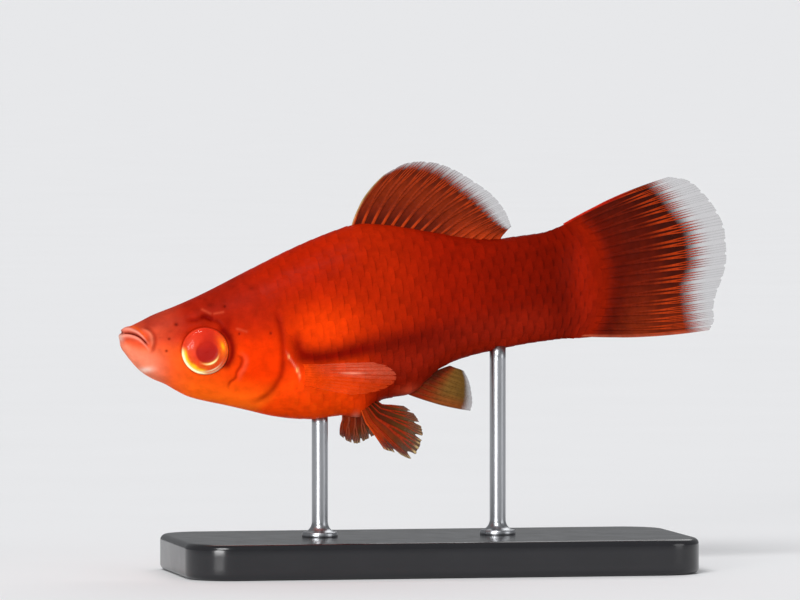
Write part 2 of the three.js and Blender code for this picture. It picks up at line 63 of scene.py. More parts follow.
def bump(distance, spread):
    return np.exp(-((distance / spread) ** 2))


def arch(v):
    return 4 * v * (1 - v)


def oval(x, z, centre, radii):
    return np.exp(-(((x - centre[0]) / radii[0]) ** 2) - ((z - centre[1]) / radii[1]) ** 2)


def span(a, b, share):
    return a + (b - a) * share


def blend(a, b, share):
    return a + (b - a) * np.asarray(share)[..., None]


def layered(skin, *coats):
    """A colour under coats, each given as (colour, how much of the skin it covers)."""
    for coat, cover in coats:
        skin = blend(skin, coat, cover)
    return skin


def through(knots):
    """A curve through knots (x, value) that stays between them, as a function of x."""
    xs, values = np.array(knots, float).T
    slopes = np.diff(values) / np.diff(xs)
    product = slopes[:-1] * slopes[1:]
    total = slopes[:-1] + slopes[1:]
    inner = np.where(product > 0, 2 * product / np.where(total == 0, 1, total), 0)
    tangents = np.concatenate([slopes[:1], inner, slopes[-1:]])

    def value(x):
        at = np.clip(x, xs[0], xs[-1])
        i = np.clip(np.searchsorted(xs, at, side="right") - 1, 0, len(xs) - 2)
        run = xs[i + 1] - xs[i]
        t = (at - xs[i]) / run
        rise = (1 - t) ** 2
        start = values[i] * (1 + 2 * t) * rise + run * tangents[i] * t * rise
        end = values[i + 1] * t * t * (3 - 2 * t) + run * tangents[i + 1] * t * t * (t - 1)
        return start + end

    return value


def x_at_height(points):
    """The x of a line of side-view points, as a function of z."""
    return through(sorted((z, x) for x, z in points))


def line(points):
    """A smooth line through points, as a function from 0 to 1."""
    given = np.array(points, float)
    before = 2 * given[0] - given[1]
    after = 2 * given[-1] - given[-2]
    knots = np.concatenate([[before], given, [after]])
    last = len(given) - 2

    def value(u):
        at = np.clip(np.asarray(u, float), 0, 1) * (len(given) - 1)
        i = np.minimum(at.astype(int), last)
        t = (at - i)[..., None]
        p0, p1, p2, p3 = (knots[i + k] for k in range(4))
        d0, d1, d2 = (
            np.maximum(np.linalg.norm(b - a, axis=-1, keepdims=True), 1e-4) ** 0.5
            for a, b in ((p0, p1), (p1, p2), (p2, p3))
        )
        t1 = ((p1 - p0) / d0 - (p2 - p0) / (d0 + d1) + (p2 - p1) / d1) * d1
        t2 = ((p2 - p1) / d1 - (p3 - p1) / (d1 + d2) + (p3 - p2) / d2) * d1
        square = -3 * p1 + 3 * p2 - 2 * t1 - t2
        cube = 2 * p1 - 2 * p2 + t1 + t2
        return p1 + t * (t1 + t * (square + t * cube))

    return value


def from_line(x, z, points, steps=LINE_STEPS):
    """Distance of side-view points from a smooth line, and how far along it the nearest place is."""
    samples = line(points)(np.linspace(0, 1, steps + 1))
    nearest = np.full(np.shape(x), np.inf)
    along = np.zeros(np.shape(x))
    for k in range(steps):
        (x0, z0), (x1, z1) = samples[k], samples[k + 1]
        dx, dz = x1 - x0, z1 - z0
        t = np.clip(((x - x0) * dx + (z - z0) * dz) / (dx * dx + dz * dz), 0, 1)
        distance = np.hypot(x - x0 - t * dx, z - z0 - t * dz)
        closer = distance < nearest
        nearest = np.where(closer, distance, nearest)
        along = np.where(closer, (k + t) / steps, along)
    return nearest, along


# Pose
PITCH = math.radians(7)
SNOUT_HEIGHT = 26
BEND_START = 30
BEND_RATE = 0.0025
BEND_REACH = 0.19
FRONT_ROD_X = 21.5
REAR_ROD_X = 42.5

# Body outline: height of the back, of the belly and of the widest line, and the half width
SNOUT = 0.2
NOSE = 0.6
BODY_END = 57
back = through([
    (0.6, 1.1), (1.3, 1.35), (2.8, 1.85), (4.2, 2.35), (7, 3.05), (10, 3.95), (14.2, 5.45),
    (20, 7.6), (25.7, 9.15), (28.4, 9.6), (31.2, 9.15), (33.4, 8.6), (36.7, 7.6), (40, 6.6),
    (42.3, 6.05), (45, 5.85), (48.6, 5.85), (51.4, 6.25), (53, 6.9), (55, 7.7), (57, 8.4),
])
belly = through([
    (0.6, -1.4), (1, -2.1), (2.1, -3.65), (3.3, -4.65), (4.6, -5.4), (5.8, -6.3), (7, -7.1),
    (8.4, -7.7), (11, -8.6), (13.6, -9.55), (16.2, -10.5), (18.9, -11.2), (21.6, -11.6),
    (24.3, -11.5), (26.8, -11.05), (29.2, -10.4), (31, -10.3), (32.4, -10.05), (33.9, -9.05),
    (35.8, -7.85), (38.7, -7), (41.4, -6.7), (47, -6.4), (50, -6.4), (52.4, -6.55), (57, -6.75),
])
widest = through([
    (0.6, -0.3), (2.5, -1), (5, -1.5), (10, -2.3), (20, -3.2), (30, -2.6), (40, -0.9), (57, 0),
])
half_width = through([
    (0.6, 1.3), (1, 1.6), (2.5, 2.05), (5, 2.7), (8, 3.3), (12, 3.95), (16, 4.5), (21, 4.85),
    (26, 4.7), (31, 4.05), (36, 3.2), (42, 2.45), (48, 1.85), (52, 1.3), (55, 0.75), (57, 0.5),
])
upper_squareness = through([(0, 2.5), (6, 2.5), (14, 2.1), (26, 1.85), (57, 1.9)])
lower_squareness = through([(0, 2.4), (8, 2.1), (20, 2.15), (32, 1.9), (57, 1.9)])
TAIL_ARC = [(51.9, 8.6), (52.7, 6.9), (54.5, 4.4), (55.3, 0.4), (54.5, -3.8), (52.7, -6.5), (51.9, -8.4)]
tail_arc = x_at_height(TAIL_ARC)
TAIL_FROM = 48
SKIN_OVERLAP = 0.9
END_THICKNESS = 0.07
END_CLOSING = 0.03

# Head
EYE_X = 9
EYE_Z = -2.15
EYE_RADIUS = 2.65
EYE_TURN = math.radians(9)
RIM_HEIGHT = 0.2
SOCKET_DEPTH = 0.9
MOUTH = [(-1, 0.9), (0.2, 0.88), (1, 0.84), (1.85, 0.5), (2.4, 0), (2.95, -0.87)]
MOUTH_WIDTH = 0.1
MOUTH_CORNER = 0.12
MOUTH_DEPTH = 0.4
mouth_height = through(MOUTH)
LIP_HEIGHT = 0.16
LIP_OFFSET = 0.4
LIP_SPREAD = 0.28
LIP_END = 3.2
LIP_FADE = 1.2
head_rear = x_at_height([
    (14.4, 9), (15, 4.6), (16.2, 1.8), (17, 0.2), (17.45, -1.7), (17.55, -3.5), (17.2, -5.4),
    (16.4, -7.2), (15.4, -8.4), (14.1, -9.4), (12.9, -12.5),
])

# Body surface
SMALL_STEP = 0.02
END_ROUNDS = 4


def roundness(x, above):
    """The power that rounds the upper or the lower half of the body at x."""
    return np.where(above, 2 / upper_squareness(x), 2 / lower_squareness(x))


def body_point(x, angle):
    """A point on the plain body. The angle is 0 on the back and a quarter turn on the left flank."""
    at = np.maximum(x, NOSE)
    closing = np.sqrt(np.clip((x - SNOUT) / (NOSE - SNOUT), 0, 1))
    middle = widest(at)
    c, n = np.cos(angle), np.sin(angle)
    power = roundness(at, c >= 0)
    height = np.where(c >= 0, back(at) - middle, middle - belly(at)) * closing
    y = -np.sign(n) * half_width(at) * closing * np.abs(n) ** power
    z = middle + np.sign(c) * height * np.abs(c) ** power
    return np.stack([x + 0 * angle, y, z], -1)


def surface(station, angle):
    """The plain body by station. Behind TAIL_FROM the stations gather towards the root of the tail fin."""
    station, angle = np.broadcast_arrays(np.asarray(station, float), angle)
    share = np.clip((station - TAIL_FROM) / (BODY_END - TAIL_FROM), 0, 1)
    x = station
    for _ in range(END_ROUNDS):
        end = tail_arc(body_point(x, angle)[..., 2]) + SKIN_OVERLAP
        x = np.where(station > TAIL_FROM, TAIL_FROM + (end - TAIL_FROM) * share, station)
    point = body_point(x, angle)
    thinning = span(1, END_THICKNESS, smooth(share, 0.15, 0.98))
    point[..., 1] *= thinning * np.sqrt(np.clip((1 - share) / END_CLOSING, 0, 1))
    return point


def square_to(across, along):
    """The unit direction square to two others."""
    normal = np.cross(across, along)
    return normal / np.maximum(np.linalg.norm(normal, axis=-1, keepdims=True), 1e-9)


def normal_at(station, angle):
    ahead = surface(np.maximum(station - SMALL_STEP, SNOUT), angle)
    along = surface(station + SMALL_STEP, angle) - ahead
    across = surface(station, angle + SMALL_STEP) - surface(station, angle - SMALL_STEP)
    return square_to(across, along)


def rounding(share, power):
    """The other side of a rounded outline of which one side is given, both from 0 to 1."""
    c = np.minimum(1, share) ** (1 / power)
    return np.sqrt(1 - c * c) ** power


def flank(x, z):
    """The half width of the body at a side-view point."""
    middle = widest(x)
    above = z >= middle
    height = np.where(above, back(x) - middle, middle - belly(x))
    return half_width(x) * rounding(np.abs(z - middle) / height, roundness(x, above))


def underside(x, y):
    """The height of the underside at x and at a distance y from the middle."""
    middle = widest(x)
    return middle - (middle - belly(x)) * rounding(np.abs(y) / half_width(x), roundness(x, False))


# Girth table: the angle at a station and at a distance over the skin from the widest line
GIRTH_STATIONS = np.linspace(NOSE, BODY_END, 260)
GIRTH_REACH = np.linspace(-18, 18, 361)
PAST_RIDGE = 0.7


def girth_table():
    angles = np.linspace(-PAST_RIDGE, math.pi + PAST_RIDGE, 900)
    points = surface(GIRTH_STATIONS[:, None], angles[None, :])
    steps = np.linalg.norm(np.diff(points[..., 1:], axis=1), axis=-1)
    run = np.concatenate([np.zeros((len(points), 1)), np.cumsum(steps, axis=1)], axis=1)
    at_widest = np.array([np.interp(math.pi / 2, angles, row) for row in run])[:, None]
    reach = at_widest - run
    table = np.array([np.interp(GIRTH_REACH, row[::-1], angles[::-1]) for row in reach])
    upward = np.array([np.interp(0, angles, row) for row in reach])
    downward = -np.array([np.interp(math.pi, angles, row) for row in reach])
    return table, upward, downward


GIRTH_ANGLE, GIRTH_UP, GIRTH_DOWN = girth_table()


def reach_up(station):
    return np.interp(station, GIRTH_STATIONS, GIRTH_UP)


def reach_down(station):
    return np.interp(station, GIRTH_STATIONS, GIRTH_DOWN)


def angle_at(station, reach):
    i = np.clip((station - NOSE) / (BODY_END - NOSE), 0, 1) * (len(GIRTH_STATIONS) - 1)
    j = np.clip((reach - GIRTH_REACH[0]) / (GIRTH_REACH[-1] - GIRTH_REACH[0]), 0, 1)
    j = j * (len(GIRTH_REACH) - 1)
    i0 = np.minimum(i.astype(int), len(GIRTH_STATIONS) - 2)
    j0 = np.minimum(j.astype(int), len(GIRTH_REACH) - 2)
    low = span(GIRTH_ANGLE[i0, j0], GIRTH_ANGLE[i0, j0 + 1], j - j0)
    high = span(GIRTH_ANGLE[i0 + 1, j0], GIRTH_ANGLE[i0 + 1, j0 + 1], j - j0)
    return span(low, high, i - i0)


# Creases of the head and the shoulder: line, width, depth, and how dark the painted shade in them is
BROW_CREASE = [(7.3, 1.5), (8.5, 1.35), (9.6, 1.6), (10, 1.25), (10.8, 0.9), (11.4, 0.1)]
ORBIT_CREASE = [
    (10.7, 0.4), (11.2, -0.1), (11.65, -0.75), (11.95, -1.6), (11.98, -2.5), (11.7, -3.35),
    (11.2, -4), (10.6, -4.5),
]
JAW_FOLD = [(2.5, 1.35), (3.2, 1.05), (3.75, 0.35), (3.8, -0.3), (3.55, -1.15), (3.1, -1.9)]
BEHIND_CHEEK = [
    (12.3, -2.9), (12.9, -3.5), (12.7, -4.3), (12.2, -4.95), (12, -5.6), (11.4, -6), (11.1, -6.8),
]
GILL_EDGE = [
    (17.2, 1.5), (17.45, 0.4), (17.55, -1.6), (17.45, -3.2), (17.1, -5.6), (16.15, -7.15),
    (14.95, -8.15), (13.6, -8.7),
]
SHOULDER_CREASE = [
    (19, -1), (19.2, -2.6), (19.5, -3.6), (20.5, -4.25), (22.2, -4.5), (24.4, -4.4),
    (26.3, -4.2), (28.5, -4),
]
REAR_NOSTRIL = [(9.1, 1.75), (9.8, 1.55), (10.4, 1.2)]
CREASES = [
    (BROW_CREASE, 0.24, 0.14, 0.6),
    (ORBIT_CREASE, 0.5, 0.1, 0.95),
    (JAW_FOLD, 0.2, 0.14, 0.5),
    (BEHIND_CHEEK, 0.16, 0.1, 0.6),
    (GILL_EDGE, 0.34, 0.08, 0.6),
    (SHOULDER_CREASE, 0.6, 0.16, 0.72),
    (REAR_NOSTRIL, 0.22, 0.16, 0.7),
]
CREASE_FADE = 0.14
PORES = [
    (6.3, 1.15, 0.2), (5.3, -0.35, 0.14), (4.85, -1.65, 0.15), (11.9, 2.45, 0.13),
    (12.95, -0.75, 0.12), (16.4, -1.1, 0.14),
]
CHEEK_FOLD = [(12.7, -2.7), (13.35, -3.45), (13.1, -4.5), (12.6, -5.2), (12.4, -6.1)]
JAW_RIDGE = [(2.5, 1.2), (3.3, 0.55), (3.45, -0.3), (3.3, -1.2)]
CLEITHRUM_GLINT_LINE = [(17.75, -3.1), (18.05, -3.9), (18.45, -4.7), (18.8, -5.45), (19, -6.1), (19, -6.9)]
CLEITHRUM_GLINTS = [(18.05, -3.9, 0.45), (18.8, -5.45, 0.85), (19, -6.1, 0.35)]

# Swellings: centre, radii and height, of the gill cover, the pectoral fin's root, the vent and the
# pad in front of the pelvic fins
VENT = (31.6, -9.7)
PELVIC_PAD = (25.9, -11.25)
PELVIC_PAD_HEIGHT = 0.8
SWELLINGS = [
    ((17, -3.4), (3.2, 5), 0.16),
    ((19, -6), (0.9, 1.6), 0.22),
    (VENT, (1.2, 0.7), 0.18),
    (PELVIC_PAD, (1.25, 1), PELVIC_PAD_HEIGHT),
]


def crease_strength(x, z, points, width):
    distance, along = from_line(x, z, points)
    return bump(distance, width) * np.clip(np.minimum(along, 1 - along) / CREASE_FADE, 0, 1)


def fold(x, z, points, width):
    """How near a point is to a soft line that fades towards both ends, from 0 to 1."""
    distance, along = from_line(x, z, points)
    return bump(distance, width) * arch(along)


def from_mouth(x, z):
    """How near a point is to the mouth slit, from 0 to 1."""
    distance, along = from_line(x, z, MOUTH[1:])
    return bump(distance, MOUTH_WIDTH) * np.clip((1 - along) / MOUTH_CORNER, 0, 1)


def relief(x, z):
    """How far the flesh stands out or in at a side-view point."""
    over_mouth = z - mouth_height(x)
    lips = bump(over_mouth - LIP_OFFSET, LIP_SPREAD) + bump(over_mouth + LIP_OFFSET, LIP_SPREAD)
    from_eye = np.hypot(x - EYE_X, z - EYE_Z)
    rim = bump(from_eye - EYE_RADIUS - 0.3, 0.6) * (1 - 0.7 * smooth(x, EYE_X, EYE_X + 1.5))
    socket = fade(from_eye, EYE_RADIUS - 0.75, EYE_RADIUS + 0.1)
    height = LIP_HEIGHT * lips * fade(x, LIP_END - LIP_FADE, LIP_END)
    height = height - MOUTH_DEPTH * from_mouth(x, z) + RIM_HEIGHT * rim - SOCKET_DEPTH * socket
    height = height + 0.1 * fold(x, z, CHEEK_FOLD, 0.25) + 0.1 * fold(x, z, JAW_RIDGE, 0.22)
    for centre, radii, rise in SWELLINGS:
        height = height + rise * oval(x, z, centre, radii)
    for points, width, depth, _ in CREASES:
        height = height - depth * crease_strength(x, z, points, width)
    for px, pz, radius in PORES:
        height = height - 0.7 * radius * bump(np.hypot(x - px, z - pz), radius)
    return height


# Where the scales begin, and how deep the skin lies under them
scales_from = x_at_height([
    (18.6, -14), (18, -11.5), (17.2, -10), (18, -8.6), (19.8, -7.6), (20.3, -6), (19.6, -4.4),
    (19, -2.4), (18.5, 0), (17.2, 2.4), (15.4, 4.6), (14.2, 6), (13.8, 9),
])
SCALE_BED = 0.14


def scaled(x, z):
    """1 where the skin carries scales and 0 on the head, with a soft border."""
    return smooth(x - scales_from(z), -1, 5)


def flesh(station, angle, lift=0.0):
    """A point on the skin, or a distance outside it."""
    plain = surface(station, angle)
    x, z = plain[..., 0], plain[..., 2]
    bed = SCALE_BED * scaled(x, z) * fade(station, 50, 54.5)
    height = relief(x, z) - bed + lift
    return plain + normal_at(station, angle) * height[..., None], x, z


# Colours, given as screen values from 0 to 255
def colour(red, green, blue):
    value = np.array([red, green, blue]) / 255
    return np.where(value <= 0.04045, value / 12.92, ((value + 0.055) / 1.055) ** 2.4)


SALMON = colour(236, 92, 58)
LIP_PINK_AND_HIGHLIGHT = colour(255, 160, 138)
LIP_ORANGE = colour(248, 92, 26)
MOUTH_SHADE_RED = colour(120, 12, 4)
SNOUT_TOP = colour(176, 52, 34)
HEAD_TOP = colour(166, 30, 10)
CHEEK = 1.2 * colour(255, 90, 18)
GILL = colour(246, 56, 0)
GILL_TOP = colour(196, 38, 6)
THROAT = 1.34 * colour(255, 98, 16)
CHIN = colour(255, 140, 106)
CREASE_SHADE_RED = colour(128, 3, 0)
PORE_RED = colour(90, 8, 4)
SHOULDER = colour(178, 30, 3)
GLOW = colour(244, 62, 4)
CHEST = 1.3 * colour(254, 69, 6)
MID_RED = colour(176, 34, 4)
REAR_RED = colour(152, 23, 3)
TAIL_RED = colour(126, 17, 2)
DARK_RED = colour(106, 13, 1)
LOW_RED = colour(150, 28, 8)
FLANK_SHADOW_RED = colour(104, 10, 2)
TAIL_ROOT = colour(98, 15, 1)
BASE_BLOTCH = colour(176, 31, 3)
SKIN_END = colour(142, 25, 3)
PINK_WHITE_HIGHLIGHT = colour(255, 214, 196)
GOLD_GLINT = colour(255, 220, 130)
SKIN_SHADE = 0.8
FRECKLES = 90
FRECKLE_SEED = 11
FLANK_SHADOW = [(19.6, -4.1), (22, -4.5), (26, -4.2), (31, -3.9), (36, -3.8), (42, -3.8)]
HEAD_HIGHLIGHT_STREAKS = [[(9.4, 2.4), (10.2, 1.85)], [(10.6, 1.8), (11.6, 1.85)], [(12.8, -0.15), (13.8, -0.6)]]


def body_colour(x, z, share):
    low = fade(share, 0.2, 0.42)
    shadow, along = from_line(x, z, FLANK_SHADOW)
    # Darker towards the tail and brightest on the shoulder and the chest: partly the fish's own colours,
    # partly painted light falling from the front and below
    return layered(
        SHOULDER,
        (MID_RED, smooth(x, 21, 31)),
        (REAR_RED, smooth(x, 29, 38)),
        (TAIL_RED, smooth(x, 37, 45)),
        (GLOW, 0.95 * oval(x, z, (22.3, -1.6), (4.6, 3))),
        (CHEST, low * fade(x, 23, 28.5)),
        (LOW_RED, low * smooth(x, 26, 31)),
        # painted shadow band along the flank above the pectoral fin
        (FLANK_SHADOW_RED, 0.8 * bump(shadow, 0.75 + 1.1 * along) * (1 - 0.8 * smooth(along, 0.6, 1))),
        (DARK_RED, 0.8 * oval(x, z, (50, -0.5), (2.6, 9))),
        (BASE_BLOTCH, 0.7 * oval(x, z, (53.7, 0.3), (2.3, 4.8))),
    )


def head_colour(x, z, share):
    snout = fade(x, 3, 8)
    over_mouth = z - mouth_height(x)
    front = fade(x, 2.4, 3.3)
    shade_behind_eye = oval(x, z, (11.9, 0.6), (0.6, 0.8)) + oval(x, z, (9.9, 1.35), (0.5, 0.3))
    # Brighter on the throat and darker on top: partly the fish's own colours, partly painted light from
    # the front and below
    skin = layered(
        CHEEK,
        (GILL, smooth(x, 7, 14)),
        (THROAT, fade(share, 0.02, 0.3)),
        (GILL_TOP, smooth(share, 0.44, 0.68)),
        (HEAD_TOP, smooth(share, 0.6, 0.9)),
        (SALMON, 0.7 * snout),
        (SNOUT_TOP, snout * smooth(z, 0.6, 1.5) * smooth(x, 1.5, 3.5)),
        (CHIN, fade(x, 2.5, 5.5) * fade(share, 0.3, 0.6)),
        (LIP_ORANGE, 0.8 * bump(over_mouth - 0.75, 0.26) * front),
        # Pale pink lines along both lips: partly the lips' own colour, partly painted highlight
        (LIP_PINK_AND_HIGHLIGHT, 0.9 * bump(over_mouth - 0.34, 0.18) * front),
        (LIP_PINK_AND_HIGHLIGHT, 0.75 * bump(over_mouth + 0.34, 0.2) * front),
        # painted highlights on the chin and at the snout tip
        (PINK_WHITE_HIGHLIGHT, 0.9 * oval(x, z, (2.5, -3.5), (0.75, 0.32))),
        (PINK_WHITE_HIGHLIGHT, 0.8 * oval(x, z, (0.2, 0.4), (0.3, 0.5))),
        # painted highlight along the ridge in front of the jaw fold
        (CHIN, 0.6 * fold(x, z, JAW_RIDGE, 0.2)),
        # painted shade behind and above the eye
        (CREASE_SHADE_RED, 0.45 * np.minimum(1, shade_behind_eye)),
        # painted highlight along the cheek fold
        (SALMON, 0.5 * fold(x, z, CHEEK_FOLD, 0.26)),
    )
    # Painted highlights: pale streaks above and behind the eye
    for ends in HEAD_HIGHLIGHT_STREAKS:
        distance, _ = from_line(x, z, ends, 4)
        skin = blend(skin, SALMON, 0.45 * bump(distance, 0.12))
    # painted shade in the mouth slit
    return blend(skin, MOUTH_SHADE_RED, from_mouth(x, z))


def freckles(x, z):
    """How far small soft spots darken or lighten the skin of the head."""
    random = np.random.default_rng(FRECKLE_SEED)
    shade = np.zeros(np.shape(x))
    for _ in range(FRECKLES):
        px, pz = random.uniform(2, 17), random.uniform(-7, 5)
        radius = random.uniform(0.12, 0.5)
        strength = random.uniform(-0.5, 1) * (0.05 + 0.95 * smooth(pz, -3, 1))
        shade = shade + strength * bump(np.hypot(x - px, (z - pz) * 1.4), radius)
    return shade * fade(x, 15, 18)


def markings(x, z):
    """The skin's colour at side-view points. Both sides of the fish have the same."""
    low, high = belly(x), back(x)
    share = np.clip((z - low) / (high - low), 0, 1)
    softness = 2.5 * smooth(share, 0.55, 0.85)
    behind_head = smooth(x - head_rear(z), -0.6 - softness, 1.4 + softness)
    skin = blend(head_colour(x, z, share), body_colour(x, z, share), behind_head)
    skin = skin * (1 - 0.28 * np.clip(freckles(x, z), -0.6, 1))[..., None]
    # Painted shade along the creases
    for points, width, _, darkness in CREASES:
        skin = blend(skin, CREASE_SHADE_RED, darkness * crease_strength(x, z, points, width))
    for px, pz, radius in PORES:
        skin = blend(skin, PORE_RED, 0.85 * bump(np.hypot(x - px, z - pz), radius))
    # Painted highlights: a thin glint line and glinting spots along the shoulder behind the gill cover
    skin = blend(skin, LIP_PINK_AND_HIGHLIGHT, 0.4 * fold(x, z, CLEITHRUM_GLINT_LINE, 0.09))
    for px, pz, strength in CLEITHRUM_GLINTS:
        skin = blend(skin, GOLD_GLINT, strength * oval(x, z, (px, pz), (0.11, 0.24)))
    return SKIN_SHADE * layered(
        skin,
        # painted highlight at the vent
        (SALMON, 0.5 * oval(x, z, VENT, (1.3, 0.6))),
        (LIP_ORANGE, 0.6 * oval(x, z, PELVIC_PAD, (0.9, 0.5))),
        # painted highlight at the root of the pelvic fins
        (LIP_PINK_AND_HIGHLIGHT, 0.7 * oval(x, z, (25.3, -11.3), (0.3, 0.35))),
        (SKIN_END, smooth(x - tail_arc(z), -2.2, 0.8)),
    )


# Placement: the fish is bent, pitched nose-down and lifted, and its length is centred on the base
ROD_X = 500 * sum(corner[0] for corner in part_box("stand_rod_front"))
FISH_X = ROD_X - FRONT_ROD_X * math.cos(PITCH) + float(belly(FRONT_ROD_X)) * math.sin(PITCH)


def bend(x):
    """How far the body bends to the right."""
    return BEND_RATE * np.maximum(0, x - BEND_START) ** 2


def place(points):
    x, y, z = points[..., 0], points[..., 1], points[..., 2]
    aside = bend(x)
    x = x + BEND_REACH * aside
    world = [
        FISH_X + x * math.cos(PITCH) - z * math.sin(PITCH),
        y + aside,
        SNOUT_HEIGHT + x * math.sin(PITCH) + z * math.cos(PITCH),
    ]
    return 0.001 * np.stack(world, -1)


# Meshes
def grid_faces(rows, columns, closed=False):
    """The quads of a grid whose points run column by column within each row."""
    r, c = np.meshgrid(np.arange(rows - 1), np.arange(columns if closed else columns - 1), indexing="ij")
    right = (c + 1) % columns
    quads = [r * columns + c, (r + 1) * columns + c, (r + 1) * columns + right, r * columns + right]
    return np.stack(quads, -1).reshape(-1, 4)


def slab_faces(rows, columns):
    """The quads of a closed slab: an upper grid, a lower grid after it, and the walls between."""
    size = rows * columns
    upper = grid_faces(rows, columns)
    ids = np.arange(size).reshape(rows, columns)
    rim = np.concatenate([ids[0, :-1], ids[:-1, -1], ids[-1, :0:-1], ids[:0:-1, 0]])
    after = np.roll(rim, -1)
    walls = np.stack([rim, after, after + size, rim + size], -1)
    return np.concatenate([upper, upper[:, ::-1] + size, walls])


def make_mesh(name, points, quads, triangles=()):
    """A mesh whose faces are turned outwards, if it is closed."""
    triangles = np.array(triangles, int).reshape(-1, 3)
    a, b, c = points[np.concatenate([quads[:, :3], quads[:, [0, 2, 3]], triangles])].swapaxes(0, 1)
    if np.sum(a * np.cross(b, c)) < 0:
        quads, triangles = quads[:, ::-1], triangles[:, ::-1]
    loops = np.concatenate([quads.ravel(), triangles.ravel()]).astype(np.int32)
    starts = np.concatenate([np.arange(len(quads)) * 4, quads.size + np.arange(len(triangles)) * 3])
    mesh = bpy.data.meshes.new(name)
    mesh.vertices.add(len(points))
    mesh.vertices.foreach_set("co", points.astype(np.float32).ravel())
    mesh.loops.add(len(loops))
    mesh.loops.foreach_set("vertex_index", loops)
    mesh.polygons.add(len(starts))
    mesh.polygons.foreach_set("loop_start", starts.astype(np.int32))
    mesh.update(calc_edges=True)
    mesh.validate()
    mesh.shade_smooth()
    return mesh


def around(count):
    """The angles of points all round a ring."""
    return np.linspace(0, 2 * math.pi, count, endpoint=False)


def ring_mesh(name, rings, first, last):
    """A closed mesh over rings of points. The points first and last close its two ends."""
    rows, columns = rings.shape[:2]
    points = np.concatenate([rings.reshape(-1, 3), [first, last]])
    ring = np.arange(columns)
    after = (ring + 1) % columns
    behind = (rows - 1) * columns
    fans = [
        np.stack([np.full(columns, rows * columns), ring, after], -1),
        np.stack([np.full(columns, rows * columns + 1), behind + after, behind + ring], -1),
    ]
    return make_mesh(name, points, grid_faces(rows, columns, True), np.concatenate(fans))


def with_ends(values):
    """The values of all points of a ring mesh, from those of its rings."""
    flat = values.reshape(-1, values.shape[-1])
    return np.concatenate([flat, flat[:1], flat[-1:]])


def paint_mesh(mesh, colours, opacity=None):
    values = np.ones((len(colours), 4), np.float32)
    values[:, :3] = np.clip(colours, 0, 1)
    if opacity is not None:
        values[:, 3] = opacity
    layer = mesh.color_attributes.new("Markings", "FLOAT_COLOR", "POINT")
    layer.data.foreach_set("color", values.ravel())


SIDES = {-1: "left", 1: "right"}


def add_object(name, data):
    item = bpy.data.objects.new(name, data)
    bpy.context.scene.collection.objects.link(item)
    return item


def add_piece(name, mesh, material, nodes=()):
    piece = add_object(name, mesh)
    mesh.materials.append(material)
    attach(piece, "root")
    if nodes:
        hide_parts(*nodes)


# Materials
class Nodes:
    """A new node material, with short calls to add and join nodes."""

    def __init__(self, name):
        self.material = bpy.data.materials.new(name)
        self.material.use_nodes = True
        self.tree = self.material.node_tree
        self.shader = self.tree.nodes["Principled BSDF"]
        self.place = self.add("ShaderNodeTexCoord").outputs["Object"]

    def add(self, kind, **settings):
        node = self.tree.nodes.new(kind)
        for key, value in settings.items():
            if key in node.inputs:
                node.inputs[key].default_value = value
            else:
                setattr(node, key, value)
        return node

    def join(self, source, target):
        self.tree.links.new(source, target)

    def fill(self, **values):
        for key, value in values.items():
            self.shader.inputs[key.replace("_", " ")].default_value = value

    def noise(self, scale, detail=3.0, stretch=None):
        node = self.add("ShaderNodeTexNoise", Scale=scale, Detail=detail)
        vector = self.place
        if stretch:
            mapping = self.add("ShaderNodeMapping")
            mapping.inputs["Scale"].default_value = stretch
            self.join(vector, mapping.inputs["Vector"])
            vector = mapping.outputs["Vector"]
        self.join(vector, node.inputs["Vector"])
        return node.outputs["Fac"]

    def range(self, value, low, high, start=0.0, end=1.0):
        node = self.add("ShaderNodeMapRange")
        for key, number in (("From Min", start), ("From Max", end), ("To Min", low), ("To Max", high)):
            node.inputs[key].default_value = number
        self.join(value, node.inputs["Value"])
        return node.outputs["Result"]

    def bump(self, heights):
        """Chains bumps, each given as (height, depth in metres, strength)."""
        normal = None
        for height, depth, strength in heights:
            node = self.add("ShaderNodeBump", Distance=depth, Strength=strength)
            self.join(height, node.inputs["Height"])
            if normal:
                self.join(normal, node.inputs["Normal"])
            normal = node.outputs["Normal"]
        self.join(normal, self.shader.inputs["Normal"])

    def rough(self, value, low, high):
        self.join(self.range(value, low, high), self.shader.inputs["Roughness"])

    def times(self, base, value):
        """A colour, or an output with colours, made darker or lighter by a number."""
        node = self.add("ShaderNodeMix", data_type="RGBA", blend_type="MULTIPLY")
        factor, first, second = (node.inputs[socket] for socket in (0, 6, 7))
        factor.default_value = 1.0
        if isinstance(base, tuple):
            first.default_value = base
        else:
            self.join(base, first)
        self.join(value, second)
        return node.outputs[2]

    def colour(self, output):
        self.join(output, self.shader.inputs["Base Color"])

    def markings(self, spots, strength):
        """Shows the mesh's own markings, mottled by fine noise, and returns their node."""
        given = self.add("ShaderNodeAttribute", attribute_name="Markings")
        colours = given.outputs["Color"]
        for size, change in ((spots, strength), (spots * 0.22, 0.7 * strength)):
            mottle = self.range(self.noise(size, 5.0), 1 - change, 1 + change, 0.3, 0.7)
            colours = self.times(colours, mottle)
        self.colour(colours)
        return given


def skin_material():
    nodes = Nodes("skin")
    nodes.markings(900, 0.13)
    nodes.fill(
        Specular_IOR_Level=0.015, Coat_Weight=0.008, Coat_Roughness=0.25,
        Subsurface_Weight=0.05, Subsurface_Scale=0.0008,
    )
    nodes.rough(nodes.noise(1500), 0.44, 0.62)
    nodes.bump([
        (nodes.noise(620, 4.0, (0.6, 1, 1.3)), 0.0002, 0.45),
        (nodes.noise(2600, 4.0), 0.00007, 0.5),
        (nodes.noise(7000, 2.0), 0.00002, 0.4),
    ])
    return nodes.material


